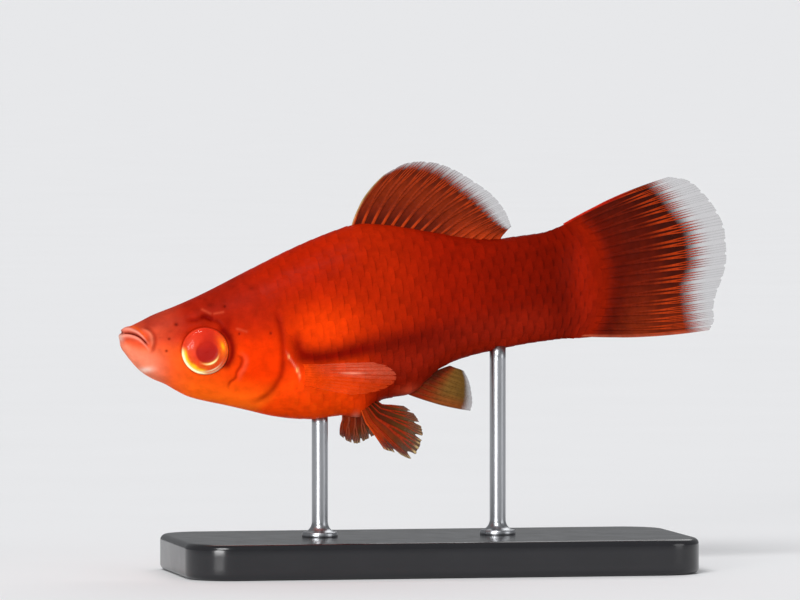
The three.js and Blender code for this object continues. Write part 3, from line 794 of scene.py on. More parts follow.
def scale_material():
    nodes = Nodes("scales")
    nodes.markings(1300, 0.1)
    nodes.fill(
        Specular_IOR_Level=0.015, Coat_Weight=0.015, Coat_Roughness=0.2,
        Subsurface_Weight=0.04, Subsurface_Scale=0.0006,
    )
    nodes.rough(nodes.noise(1800), 0.28, 0.5)
    grooves = nodes.noise(2400, 2.0, (0.35, 1, 1.6))
    nodes.bump([(grooves, 0.00005, 0.5), (nodes.noise(8000, 2.0), 0.00002, 0.3)])
    return nodes.material


def fin_material():
    nodes = Nodes("fins")
    given = nodes.markings(1500, 0.15)
    nodes.join(given.outputs["Alpha"], nodes.shader.inputs["Alpha"])
    nodes.fill(Specular_IOR_Level=0.02)
    nodes.rough(nodes.noise(2500), 0.3, 0.5)
    nodes.bump([(nodes.noise(5200, 3.0), 0.00003, 0.4)])
    return nodes.material


def iris_material():
    nodes = Nodes("iris")
    nodes.markings(3000, 0.1)
    nodes.fill(Specular_IOR_Level=0.08)
    nodes.rough(nodes.noise(4000), 0.22, 0.42)
    nodes.bump([(nodes.noise(9000, 3.0), 0.00003, 0.5)])
    return nodes.material


def cornea_material():
    """A clear wet film: it only adds the gloss of its surface."""
    nodes = Nodes("cornea")
    clear = nodes.add("ShaderNodeBsdfTransparent")
    gloss = nodes.add("ShaderNodeBsdfGlossy", Roughness=0.04)
    edge = nodes.add("ShaderNodeFresnel", IOR=1.2)
    ripple = nodes.add("ShaderNodeBump", Distance=0.00001, Strength=0.2)
    nodes.join(nodes.noise(1500, 2.0), ripple.inputs["Height"])
    nodes.join(ripple.outputs["Normal"], gloss.inputs["Normal"])
    both = nodes.add("ShaderNodeMixShader")
    nodes.join(edge.outputs["Fac"], both.inputs[0])
    nodes.join(clear.outputs["BSDF"], both.inputs[1])
    nodes.join(gloss.outputs["BSDF"], both.inputs[2])
    output = nodes.tree.nodes["Material Output"]
    nodes.join(both.outputs["Shader"], output.inputs["Surface"])
    nodes.tree.nodes.remove(nodes.shader)
    return nodes.material


def acrylic_material():
    nodes = Nodes("black_acrylic")
    nodes.colour(nodes.times((0.012, 0.012, 0.014, 1), nodes.range(nodes.noise(120, 4.0), 0.8, 1.25)))
    nodes.rough(nodes.noise(400, 6.0), 0.1, 0.26)
    scratches = nodes.noise(900, 2.0, (0.06, 1, 1))
    nodes.bump([(scratches, 0.00002, 0.12), (nodes.noise(3000), 0.00001, 0.1)])
    return nodes.material


def steel_material():
    nodes = Nodes("brushed_steel")
    brushing = nodes.noise(6000, 3.0, (1, 1, 0.03))
    nodes.colour(nodes.times((0.42, 0.43, 0.45, 1), nodes.range(brushing, 0.75, 1.1)))
    nodes.fill(Metallic=1.0)
    nodes.rough(brushing, 0.2, 0.42)
    nodes.bump([(brushing, 0.00001, 0.25)])
    return nodes.material


SKIN = skin_material()
SCALES = scale_material()
FINS = fin_material()
IRIS = iris_material()
CORNEA = cornea_material()
ACRYLIC = acrylic_material()
STEEL = steel_material()

# Skin: one closed surface from the lips to the root of the tail fin
HALF_RING = 144
NOSE_RINGS = [0.06, 0.14, 0.28, 0.47, 0.7]
RING_SPACING = [(NOSE, 5, 0.09), (5, 19.5, 0.135), (19.5, TAIL_FROM, 0.3)]
END_RINGS = 36
LAST_RING = BODY_END - 0.01


def skin_stations():
    nose = span(SNOUT, NOSE, np.array(NOSE_RINGS))
    body = [np.arange(start, end, step) for start, end, step in RING_SPACING]
    return np.concatenate([nose, *body, np.linspace(TAIL_FROM, LAST_RING, END_RINGS)])


def make_skin():
    stations = skin_stations()
    share = np.linspace(0, 1, HALF_RING + 1)
    reach = span(reach_up(stations)[:, None], -reach_down(stations)[:, None], share)
    left = angle_at(stations[:, None] + 0 * share, reach)
    left[:, 0] = 0
    left[:, -1] = math.pi
    angles = np.concatenate([left, 2 * math.pi - left[:, -2:0:-1]], axis=1)
    points, x, z = flesh(stations[:, None], angles)
    rings = place(points)
    mesh = ring_mesh("skin", rings, rings[0].mean(axis=0), rings[-1].mean(axis=0))
    paint_mesh(mesh, with_ends(markings(x, z)))
    nodes = ("head", "lower_jaw", "gill_cover_left", "gill_cover_right", "trunk", "tail_stalk")
    add_piece("skin", mesh, SKIN, nodes)


make_skin()

# Scales: closed plates in staggered rows, each with its free edge towards the tail
ROW_PITCH = through([(14, 1.5), (30, 1.5), (46, 1.36), (57, 1.34)])
COLUMN_PITCH = through([(14, 1.42), (30, 1.38), (46, 1.28), (57, 1.25)])
SCALE_FRONT = 1.25
SCALE_REAR = 0.95
SCALE_TALL = 1.02
SCALE_LIFT = 0.18
LIFT_SPREAD = 0.02
SCALE_SINK = 0.05
SCALE_CROWN = 0.9
SCALE_THICK = 0.045
PLATE_ROWS = 11
PLATE_COLUMNS = 9
MAP_PATCH = 0.003
MAP_START = 0.02
MAP_SCALE = 0.95 / 60
MAP_HEIGHT = 40
EDGE_ANGLE = math.radians(50)
FIRST_SCALE = 13.5
LAST_SCALE = BODY_END - 1.5
ROWS_EACH_WAY = 12
FROM_RIDGE = 0.4
SHADOW_SLIT_AHEAD = 0.16
SHADOW_SLIT_WIDTH = 0.1
TONE_SPREAD = 0.07
SCALE_SEED = 7


def scale_columns():
    columns = [FIRST_SCALE]
    while columns[-1] < LAST_SCALE:
        columns.append(columns[-1] + float(COLUMN_PITCH(columns[-1])))
    return columns


def side_roots():
    """Places of the scales on one flank, as station and reach from the widest line."""
    columns = scale_columns()
    roots = []
    for row in range(-ROWS_EACH_WAY, ROWS_EACH_WAY + 1):
        for first, second in zip(columns, columns[1:]):
            station = first if row % 2 == 0 else (first + second) / 2
            if station > LAST_SCALE:
                continue
            pitch = float(ROW_PITCH(station))
            reach = row * pitch
            margin = FROM_RIDGE * pitch
            if not -reach_down(station) + margin < reach < reach_up(station) - margin:
                continue
            at = surface(station, angle_at(np.array(station), np.array(reach)))
            if at[0] > scales_from(at[2]):
                roots.append((station, reach))
    return np.array(roots)


def ridge_roots(spans, upper):
    """Places of the scales that lie along the middle of the back or of the belly."""
    roots = []
    for start, end in spans:
        station = start
        while station < end:
            roots.append((station, reach_up(station) if upper else -reach_down(station)))
            station += float(COLUMN_PITCH(station))
    return np.array(roots)


def plate_grid():
    """The points of one scale: along it, across it, and how far they lie behind its root."""
    along = np.linspace(0, 1, PLATE_ROWS)[:, None]
    across = np.linspace(-1, 1, PLATE_COLUMNS)[None, :]
    rear = SCALE_REAR * np.sqrt(np.maximum(0, 1 - np.abs(across) ** 3.4))
    return along, across, span(-SCALE_FRONT * (1 - 0.3 * across**2), rear, along)


def prominence(x, reach):
    """How far scales stand out: less on the shoulder, near the tail fin, the back and the belly."""
    to_profile = np.maximum(reach / reach_up(x), -reach / reach_down(x))
    lengthwise = (0.4 + 0.6 * smooth(x, 15, 27)) * (1 - 0.75 * smooth(x, 50, 55))
    return lengthwise * (1 - 0.6 * smooth(to_profile, 0.6, 0.95))


def scale_colours(x, z, shift, across, pitch, tone):
    """The skin's colours by tone, with a dark slit of painted shadow in front of the next scale's edge."""
    skin = markings(x, z) * tone[..., None]
    slit = bump(shift - (SCALE_REAR - pitch + SHADOW_SLIT_AHEAD), SHADOW_SLIT_WIDTH) * fade(np.abs(across), 0.12, 0.4)
    on_belly = fade(z - belly(x), 1.5, 4) * fade(x, 28, 34)
    strength = (0.3 + 0.15 * smooth(x, 20, 30)) * fade(x, 52, 55) * (1 - 0.8 * on_belly)
    return blend(skin, skin * 0.35, slit * strength)


def make_scales(name, roots, side, raised=0.0):
    random = np.random.default_rng(SCALE_SEED)
    along, across, shift = plate_grid()
    rise = (shift + SCALE_FRONT) / (SCALE_REAR + SCALE_FRONT)
    root_x, root_reach = roots.T[:, :, None, None]
    station = np.minimum(root_x + shift, BODY_END - 0.02)
    angle = angle_at(station, root_reach + SCALE_TALL * ROW_PITCH(root_x) * across + 0 * shift)
    jitter = random.uniform(-LIFT_SPREAD, LIFT_SPREAD, root_x.shape)
    standing = (SCALE_LIFT + jitter) * prominence(root_x, root_reach)
    lift = rise * (standing * (1 - SCALE_CROWN * across**2) + raised) - SCALE_SINK
    thin = SCALE_THICK * (1 - 0.5 * rise**3) * (1 - 0.7 * across**2)
    upper, x, z = flesh(station, angle, lift + SCALE_THICK)
    lower, _, _ = flesh(station, angle, lift + SCALE_THICK - thin)
    tone = 1 + random.uniform(-TONE_SPREAD, TONE_SPREAD, root_x.shape)
    # The tone rises towards each scale's rear edge: a painted highlight on the raised edge
    skin = scale_colours(x, z, shift, across, COLUMN_PITCH(root_x), tone + 0.1 * smooth(rise, 0.6, 1))
    points = np.stack([upper, lower], 1)
    if side > 0:
        points = points * [1, -1, 1]
    cell = slab_faces(PLATE_ROWS, PLATE_COLUMNS)
    size = 2 * PLATE_ROWS * PLATE_COLUMNS
    quads = (cell[None] + (np.arange(len(roots)) * size)[:, None, None]).reshape(-1, 4)
    mesh = make_mesh(name, place(points.reshape(-1, 3)), quads)
    paint_mesh(mesh, np.stack([skin, skin], 1).reshape(-1, 3))
    mesh.set_sharp_from_angle(angle=EDGE_ANGLE)
    add_root_map(mesh, roots, along, across)
    add_piece(name, mesh, SCALES)


def add_root_map(mesh, roots, along, across):
    """A small patch of the map for each scale, at its root's place on the unrolled flank."""
    u = (MAP_START + roots[:, 0] * MAP_SCALE)[:, None, None, None]
    v = (0.5 + roots[:, 1] / MAP_HEIGHT)[:, None, None, None]
    both = np.zeros((1, 2, 1, 1))
    patch = (u + MAP_PATCH * (along - 0.5) + both, v + MAP_PATCH * 0.5 * across + both)
    points = np.stack(np.broadcast_arrays(*patch), -1).reshape(-1, 2)
    corners = np.zeros(len(mesh.loops), np.int32)
    mesh.loops.foreach_get("vertex_index", corners)
    layer = mesh.uv_layers.new(name="OFBake")
    layer.data.foreach_set("uv", points[corners].astype(np.float32).ravel())


SIDE_ROOTS = side_roots()
make_scales("scales_left", SIDE_ROOTS, -1)
make_scales("scales_right", SIDE_ROOTS, 1)
make_scales("scales_back", ridge_roots([(15, 27.6), (45, 53)], True), -1, 0.01)
make_scales("scales_belly", ridge_roots([(18.5, 24.5), (38.2, 53)], False), -1, 0.01)

# Eyes: a domed iris with a low, sunken pupil under a clear wet cornea
EYE_DEPTH = 1.7
CORNEA_DOME = 0.68
CORNEA_SINK = 0.01
CORNEA_REAR = -0.6
AROUND_EYE = 180
PUPIL_RADIUS = 1.23
PUPIL_REARWARD = 0.2
PUPIL_UPWARD = -0.13
GOLD = colour(255, 206, 10)
PALE_GOLD_HIGHLIGHT = colour(255, 250, 196)
IRIS_RED = colour(212, 48, 20)
IRIS_PALE = colour(228, 72, 40)
IRIS_LOW = colour(226, 78, 12)
IRIS_GLOW = colour(248, 118, 14)
PUPIL_RED = colour(168, 22, 12)
RING_PINK = colour(206, 140, 108)


def turned(angle, centre, spread):
    """How near an angle round the eye is to a centre, both in degrees, from 0 to 1."""
    away = (angle - centre + 180) % 360 - 180
    return bump(away, spread)


def iris_parts(rearward, upward):
    """Distance and angle from the eye's middle, and from the pupil's middle."""
    r = np.hypot(rearward, upward)
    degrees = np.degrees(np.arctan2(upward, rearward)) % 360
    from_pupil = np.hypot(rearward - PUPIL_REARWARD, upward - PUPIL_UPWARD)
    round_pupil = np.degrees(np.arctan2(upward - PUPIL_UPWARD, rearward - PUPIL_REARWARD)) % 360
    return r, degrees, from_pupil, round_pupil


def rim_highlight(degrees):
    """The part of the rim that carries a painted highlight: the front and the lower front."""
    return smooth(degrees, 158, 188) * fade(degrees, 252, 275)


def iris_height(rearward, upward):
    r, degrees, from_pupil, round_pupil = iris_parts(rearward, upward)
    lower = turned(round_pupil, 280, 75)
    dome = 0.34 - 0.12 * (r / EYE_RADIUS) ** 2 - 0.25 * smooth(r, EYE_RADIUS - 0.14, EYE_RADIUS)
    lip = 0.05 * bump(from_pupil - PUPIL_RADIUS - 0.14, 0.12) * lower
    hollow = 0.1 * fade(from_pupil, PUPIL_RADIUS - 0.3, PUPIL_RADIUS) * (0.3 + 0.7 * lower)
    ring = 0.06 * bump(r - 2.44, 0.15) * (0.2 + 0.8 * turned(degrees, 235, 80))
    return dome + lip + ring - hollow


def iris_colour(rearward, upward):
    r, degrees, from_pupil, round_pupil = iris_parts(rearward, upward)
    pupil = fade(from_pupil, PUPIL_RADIUS - 0.1, PUPIL_RADIUS + 0.05) * (1 - 0.6 * smooth(upward, 0, 1))
    crescent = turned(round_pupil, 288, 32) * bump(from_pupil - PUPIL_RADIUS - 0.12, 0.12)
    core = turned(round_pupil, 288, 28) * bump(from_pupil - PUPIL_RADIUS - 0.13, 0.08)
    rim = rim_highlight(degrees)
    bottom = turned(degrees, 285, 24)
    # Partly the iris's own gold and partly painted light: highlights on the rim at the front and below, a
    # pale crescent under the pupil and a glow with a bright spot at the rear
    return layered(
        IRIS_RED,
        (IRIS_PALE, 0.8 * turned(degrees, 165, 45) * bump(r - 1.7, 0.7)),
        (IRIS_LOW, turned(degrees, 265, 75) * smooth(r, 1.2, 1.6)),
        (IRIS_GLOW, turned(degrees, 5, 30) * bump(r - 2.1, 0.42)),
        (GOLD, 0.6 * turned(degrees, 8, 11) * bump(r - 2.05, 0.16)),
        (PUPIL_RED, 0.6 * oval(rearward, upward, (0.6, 1.1), (0.85, 1.6))),
        (PUPIL_RED, pupil),
        (GOLD, np.minimum(1, 1.4 * crescent)),
        (PALE_GOLD_HIGHLIGHT, np.minimum(1, 1.4 * core)),
        (GOLD, rim * np.minimum(1, 1.5 * bump(r - 2.32, 0.26))),
        (GOLD, 0.8 * turned(degrees, 228, 10) * bump(r - 2.02, 0.16)),
        (PALE_GOLD_HIGHLIGHT, rim * np.minimum(1, 1.4 * bump(r - 2.46, 0.15))),
        (RING_PINK, 0.9 * bottom * bump(r - 2.42, 0.17)),
        (PALE_GOLD_HIGHLIGHT, 0.9 * bottom * bump(r - 2.24, 0.06)),
        (PALE_GOLD_HIGHLIGHT, 0.9 * bottom * bump(r - 2.58, 0.06)),
    )


def eye_surface(side, r, angle, height):
    """Points over the eye. The angle runs from the rear upwards, and the height outwards."""
    centre = np.array([EYE_X, side * float(flank(EYE_X, EYE_Z)), EYE_Z])
    outward = np.array([-math.sin(EYE_TURN), side * math.cos(EYE_TURN), 0])
    rearward = np.array([math.cos(EYE_TURN), side * math.sin(EYE_TURN), 0])
    upward = np.array([0, 0, 1])
    r, angle, height = (v[..., None] for v in np.broadcast_arrays(r, angle, height))
    return centre + r * (np.cos(angle) * rearward + np.sin(angle) * upward) + height * outward


def make_disc(name, side, radii, angles, heights, end_heights):
    """A closed form over rings of points round the eye's middle."""
    rings = eye_surface(side, radii[:, None], angles[None, :], heights)
    ends = eye_surface(side, 0.0, 0.0, np.array(end_heights))
    return ring_mesh(name, place(rings), *place(ends))


def make_eye(side):
    name = SIDES[side]
    angles = around(AROUND_EYE)
    front = np.linspace(0.08, EYE_RADIUS - 0.04, 70)
    rear = np.linspace(0, math.pi / 2, 12)[1:-1]
    radii = np.concatenate([front, front[-1] * np.cos(rear)])
    rearward = radii[:, None] * np.cos(angles)
    upward = radii[:, None] * np.sin(angles)
    heights = iris_height(rearward, upward)
    edge = heights[len(front) - 1]
    heights[len(front):] = edge - EYE_DEPTH * np.sin(rear)[:, None]
    ends = (heights[0].mean(), edge.mean() - EYE_DEPTH)
    mesh = make_disc(f"eye_ball_{name}", side, radii, angles, heights, ends)
    paint_mesh(mesh, with_ends(iris_colour(rearward, upward)))
    add_piece(f"eye_ball_{name}", mesh, IRIS, (f"eye_{name}",))
    radii = EYE_RADIUS * np.sin(np.linspace(0.04, math.pi / 2, 30))
    dome = CORNEA_DOME * np.sqrt(np.maximum(0, 1 - (radii / EYE_RADIUS) ** 2)) - CORNEA_SINK
    ends = (CORNEA_DOME - CORNEA_SINK, CORNEA_REAR)
    mesh = make_disc(f"cornea_{name}", side, radii, angles, dome[:, None], ends)
    add_piece(f"cornea_{name}", mesh, CORNEA)


for each_side in SIDES:
    make_eye(each_side)

# Fins: thin webs with raised rays that fork twice and are jointed along their length
FIN_WEB = 0.045
FIN_WEB_EDGE = 0.018
RAY_COLUMNS = 20
WEB_COLUMNS = 4
JOINT_ROWS = 4
FIN_STEP = 0.004
FORK_START = 0.08
FORK_END = 0.14
# Before a ray forks, after its first and after its second fork: the number of branches, their
# spacing and half width in ray spacings, and their height
BRANCHES = [(1, 0, 0.17, 1), (2, 0.34, 0.1, 0.85), (4, 0.2, 0.055, 0.7)]


def ray_profile(v, forks):
    """Across one ray at each v: the place of its columns in ray spacings, and their height."""
    column = np.arange(RAY_COLUMNS)
    places = heights = np.zeros((len(v), RAY_COLUMNS))
    for (branches, spacing, half, tall), fork in zip(BRANCHES, (-1, *forks)):
        size = RAY_COLUMNS // branches
        middle = (size - 1) / 2
        across = (column % size - middle) / middle
        share = smooth(v, fork - FORK_START, fork + FORK_END)[:, None]
        places = span(places, (column // size - (branches - 1) / 2) * spacing + half * across, share)
        heights = span(heights, tall * np.sqrt(1 - across**2), share)
    return places, heights


def fin_grid(rays, v, forks):
    """Columns of a whole fin: u, the ray height from 0 to 1, and how far between two rays."""
    places, heights = ray_profile(v, forks)
    columns, ridges, between = [], [], []
    for ray in range(rays):
        columns.append(ray + places)
        ridges.append(heights)
        between.append(np.zeros_like(places))
        if ray + 1 < rays:
            share = (np.arange(WEB_COLUMNS) + 1) / (WEB_COLUMNS + 1)
            columns.append(span(ray + places[:, -1:], ray + 1 + places[:, :1], share))
            ridges.append(np.zeros((len(v), WEB_COLUMNS)))
            between.append(np.broadcast_to(arch(share), (len(v), WEB_COLUMNS)))
    q = np.concatenate(columns, 1)
    return (q + 0.2) / (rays - 0.6), np.concatenate(ridges, 1), np.concatenate(between, 1)


def make_fin(name, node, rays, joints, middle, paint, forks=(0.4, 0.68), inside=0.0, ray_height=0.16,
             scallop=0.012, fray=0.006, seed=1):
    """A closed fin over middle(u, v), where u runs along its root and v from the root to its margin."""
    random = np.random.default_rng(seed)
    rows = joints * JOINT_ROWS + 1
    v = np.linspace(-inside, 1, rows)
    u, ridge, between = fin_grid(rays, v, forks)
    u = np.clip(u, 0, 1)
    count = u.shape[1]
    tips = 1 - fray * random.uniform(0, 1, count)
    tips = np.convolve(np.pad(tips, 1, mode="edge"), [0.25, 0.5, 0.25], mode="valid")
    reach = tips[None, :] * (1 - scallop * between)
    rest = v[:, None] + 0 * u
    run = np.where(rest > 0, rest * reach, rest)
    centre = middle(u, run)
    across = middle(np.minimum(u + FIN_STEP, 1), run) - middle(np.maximum(u - FIN_STEP, 0), run)
    along = middle(u, np.minimum(run + FIN_STEP, 1)) - middle(u, run - FIN_STEP)
    joint = (np.arange(rows) % JOINT_ROWS == 0)[:, None] * smooth(rest, 0.12, 0.3)
    web = span(FIN_WEB, FIN_WEB_EDGE, smooth(rest, 0.6, 1))
    taper = (1 - 0.72 * smooth(rest, 0, 1)) * (0.25 + 0.75 * smooth(rest, 0, 0.14))
    half = web + ray_height * ridge * taper * (1 - 0.4 * joint)
    offset = square_to(across, along) * half[..., None]
    points = np.stack([centre + offset, centre - offset])
    colours, opacity = paint(u, rest, ridge, joint, centre[..., 0], centre[..., 2])
    mesh = make_mesh(name, place(points.reshape(-1, 3)), slab_faces(rows, count))
    each_face = 1 - np.sqrt(1 - np.clip(opacity, 0, 1))
    colours = SKIN_SHADE * colours.reshape(-1, 3)
    paint_mesh(mesh, np.tile(colours, (2, 1)), np.tile(each_face.ravel(), 2))
    add_piece(name, mesh, FINS, (node,))


def vector(x, y, z):
    return np.stack(np.broadcast_arrays(x, y, z), -1)


CLEAR_GREY = colour(106, 98, 104)
RAY_ORANGE = colour(204, 66, 18)
RAY_RED = colour(172, 44, 14)
FIN_BROWN = colour(116, 33, 12)
TAIL_WEB = colour(95, 20, 5)
FIN_DARK = colour(52, 16, 8)
FIN_RUST = colour(132, 41, 12)
EDGE_RED = colour(198, 36, 16)
EDGE_PINK = colour(196, 92, 62)
TAN = colour(132, 92, 40)
OLIVE = colour(96, 70, 28)
PELVIC_BROWN = colour(84, 32, 10)
PELVIC_RED = colour(140, 44, 20)
PELVIC_TIP = colour(92, 62, 26)
TIP_CREAM = colour(226, 206, 140)
PETAL_PINK = colour(220, 72, 36)
PETAL_ORANGE = colour(246, 74, 10)
WHITE_PINK = colour(246, 150, 122)

# Dorsal fin
DORSAL_START = 27.6
DORSAL_END = 44.2
DORSAL_FAN = 1.55
dorsal_margin = line([
    (32.2, 0, 14.6), (34.9, 0, 15.5), (37.7, 0, 15.2), (39.9, 0, 14.2), (42, 0, 12.6), (44, 0, 10.7),
    (45.2, 0, 8.7), (45.7, 0, 6.95),
])


def dorsal_middle(u, v):
    x = span(DORSAL_START, DORSAL_END, u)
    root = vector(x, 0, back(x) - 0.35)
    bow = vector(-0.5 * arch(v) * (1 - u), 0.25 * v * np.sin(2 * np.pi * u), 0.3 * arch(v) * (1 - 0.6 * u))
    return blend(root, dorsal_margin(1 - (1 - u) ** DORSAL_FAN), v) + bow


def dorsal_paint(u, v, ridge, joint, x, z):
    on_ray = smooth(ridge, 0.05, 0.6)
    foot = fade(v, 0.08, 0.28) * (1 - 0.75 * smooth(u, 0.4, 0.8))
    gaps = bump(v - span(0.82, 0.66, u), 0.12)
    clear_from = span(0.96, 0.76, smooth(u, 0.05, 0.8)) + 0.07 * ridge
    clear = smooth(v, clear_from - 0.1, clear_from + 0.1)
    skin = layered(
        FIN_BROWN,
        (FIN_RUST, smooth(v, 0.2, 0.5) * (1 - 0.5 * u)),
        (FIN_DARK, 0.55 * foot * (1 - on_ray)),
        (RAY_ORANGE, (0.16 + 0.6 * foot) * on_ray),
        (RAY_ORANGE, 0.5 * fade(v, 0.2, 0.6) * smooth(u, 0.45, 0.85)),
        (FIN_DARK, 0.55 * gaps * (1 - on_ray)),
        (RAY_ORANGE, 0.45 * gaps * on_ray),
        (FIN_DARK, 0.3 * joint * ridge),
        (CLEAR_GREY, clear),
        (TIP_CREAM, 0.5 * fade(u, 0, 0.016)),
    )
    return skin, span(0.998, 0.36, clear) + 0.12 * ridge * clear


make_fin("dorsal_rays", "dorsal_fin", 16, 22, dorsal_middle, dorsal_paint, inside=0.06, seed=2)

# Tail fin
tail_root = line([(x, 0, z) for x, z in TAIL_ARC[1:-1]])
tail_margin = line([
    (64.4, 0, 10.05), (66.7, 0, 9.3), (68.2, 0, 7.7), (69.2, 0, 6.1), (70, 0, 3.8), (70, 0, 1.6),
    (69.8, 0, -0.3), (69.1, 0, -2.2), (68.3, 0, -3.8), (67.8, 0, -5.4), (67.7, 0, -6.7), (67, 0, -7.7),
])
clear_from_x = through([
    (-8, 65.8), (-6.1, 65.5), (-2.7, 65.4), (0.5, 66.6), (3.4, 66.6), (5.9, 65.3), (8.2, 64), (10, 62.4),
])


def tail_middle(u, v):
    bow = vector(0, 0.3 * v * np.sin(3 * np.pi * u), 0.35 * arch(v) * (1 - 2 * u))
    return blend(tail_root(u), tail_margin(u), v) + bow


def tail_paint(u, v, ridge, joint, x, z):
    on_ray = smooth(ridge, 0.05, 0.6)
    lower = smooth(u, 0.45, 0.92)
    line_x = clear_from_x(z) + 1.2 * on_ray - 0.4
    clear = smooth(x, line_x - 1.2, line_x + 1.2)
    skin = layered(
        SKIN_END,
        (TAIL_ROOT, smooth(v, 0.01, 0.15)),
        (TAIL_WEB, smooth(v, 0.1, 0.35)),
        (TAIL_WEB * 0.8, fade(u, 0.3, 0.6) * smooth(v, 0.15, 0.4)),
        (FIN_RUST, 0.85 * lower * smooth(v, 0.1, 0.4)),
        (RAY_RED, 0.15 * smooth(v, 0.1, 0.3) * on_ray),
        (RAY_ORANGE, 0.75 * smooth(v, 0.38, 0.6) * on_ray),
        (FIN_DARK, 0.75 * smooth(v, 0.4, 0.6) * (1 - on_ray) * (1 - 0.5 * lower)),
        (FIN_DARK, 0.2 * joint * ridge),
        (CLEAR_GREY, clear),
        (EDGE_RED, 0.9 * fade(u, 0.01, 0.03) * fade(v, 0.35, 0.7)),
        (EDGE_PINK, 0.6 * smooth(u, 0.965, 0.985) * (1 - 0.5 * clear)),
    )
    return skin, span(0.998, 0.32, clear) + 0.12 * ridge * clear


make_fin("tail_rays", "tail_fin", 16, 32, tail_middle, tail_paint, (0.3, 0.58), inside=0.09, seed=3)

# Anal fin
ANAL_START = 32.2
ANAL_END = 37.1
anal_margin = line([
    (38.6, 0, -12.9), (38.95, 0, -12.1), (38.95, 0, -10.9), (38.8, 0, -9.6), (38.4, 0, -8.4),
])


def anal_middle(u, v):
    x = span(ANAL_START, ANAL_END, u)
    root = vector(x, 0, belly(x) - 0.3)
    bow = vector(0, 0.15 * v * np.sin(2 * np.pi * u), -0.2 * arch(v) * (1 - u))
    return blend(root, anal_margin(u), v) + bow


def anal_paint(u, v, ridge, joint, x, z):
    clear = smooth(v, 0.8, 0.98)
    skin = layered(
        TAN,
        (OLIVE, 0.7 * smooth(v, 0.3, 0.85)),
        (LOW_RED, 0.8 * fade(v, 0.08, 0.45)),
        (RAY_RED, 0.5 * fade(u, 0.08, 0.4) * (1 - 0.5 * v)),
        (TAN, 0.25 * smooth(ridge, 0, 0.5) * fade(v, 0.75, 1)),
        # painted shade where the fin's root meets the belly
        (FIN_DARK, 0.6 * fade(v, 0.04, 0.16) * smooth(u, 0.2, 0.6)),
        (FIN_DARK, 0.3 * joint * ridge),
        (CLEAR_GREY, 0.8 * clear),
    )
    return skin, span(0.998, 0.6, clear)


make_fin("anal_rays", "anal_fin", 9, 14, anal_middle, anal_paint, inside=0.14, seed=4)

# Pectoral fins
PECTORAL_TOP = (18.8, -4.9)
PECTORAL_BOTTOM = (19.3, -7.3)
ROOT_DEPTH = 0.3
PECTORAL_STAND = 1.09
PECTORAL_MARGIN = [
    (27.2, -5.9, -5.7), (28.6, -6.4, -6.3), (29.3, -7.2, -7.1), (29, -8.2, -7.9), (27.7, -9, -8.5),
    (25.8, -9.2, -8.8), (23.8, -8.7, -8.8),
]


def pectoral_paint(u, v, ridge, joint, x, z):
    upper = fade(u, 0.3, 0.62)
    on_ray = smooth(ridge, 0.1, 0.8)
    highlight_streak = bump(u - 0.36, 0.04) * smooth(v, 0.36, 0.5) * fade(v, 0.56, 0.72)
    # The upper part and its rays are paler: partly the fin's own pink, partly painted highlight. The white
    # streak is a painted highlight
    skin = layered(
        PETAL_ORANGE,
        (PETAL_PINK, upper * smooth(v, 0.08, 0.4)),
        (WHITE_PINK, (0.1 + 0.55 * upper * smooth(v, 0.3, 0.7)) * on_ray * smooth(v, 0.2, 0.45)),
        (WHITE_PINK, 0.9 * highlight_streak),
        (SALMON, 0.4 * smooth(v, 0.85, 1) * upper),
    )
    web = span(0.97, 0.38, smooth(v, 0.08, 0.42)) + 0.16 * upper * smooth(v, 0.05, 0.3)
    rays = (0.15 + 0.1 * upper) * ridge * smooth(v, 0.12, 0.4)
    return skin, web + rays + 0.3 * highlight_streak


def make_pectoral(side):
    margin = line([(x, y * -side, z) for x, y, z in PECTORAL_MARGIN])

    def middle(u, v):
        x = span(PECTORAL_TOP[0], PECTORAL_BOTTOM[0], u)
        z = span(PECTORAL_TOP[1], PECTORAL_BOTTOM[1], u)
        stand = -ROOT_DEPTH + (ROOT_DEPTH + PECTORAL_STAND) * smooth(v, -0.05, 0.38)
        root = vector(x, side * (flank(x, z) + stand), z)
        bow = vector(0, side * 0.7 * arch(v) * (0.4 + 0.6 * u), 0)
        return blend(root, margin(u), v) + bow

    make_fin(
        f"pectoral_rays_{SIDES[side]}", f"pectoral_fin_{SIDES[side]}", 10, 14, middle, pectoral_paint,
        ray_height=0.045, scallop=0.04, seed=5,
    )


for each_side in SIDES:
    make_pectoral(each_side)

# Pelvic fins
PELVIC_FRONT = 25.8
FAR_PELVIC_FRONT = 24.5
PELVIC_REAR = 27.9
PELVIC_OUTER = 1.9
PELVIC_INNER = 1.1
PELVIC_STAND = 0.74
LEFT_PELVIC_MARGIN = [
    (27.8, -3, -15.7), (29.3, -3.6, -16.4), (30.6, -3.8, -17.1), (31.9, -3.5, -15.6),
    (32.4, -3, -14.4), (32.2, -2.6, -13.2), (31.7, -2.1, -12.1), (30.9, -1.5, -11.3),
]
RIGHT_PELVIC_MARGIN = [
    (24.1, 3.2, -13.9), (24.9, 3.3, -14.7), (25.9, 3.2, -15.1), (27, 2.9, -14.8), (28, 2.5, -14.3),
    (28.9, 2, -13.3),
]


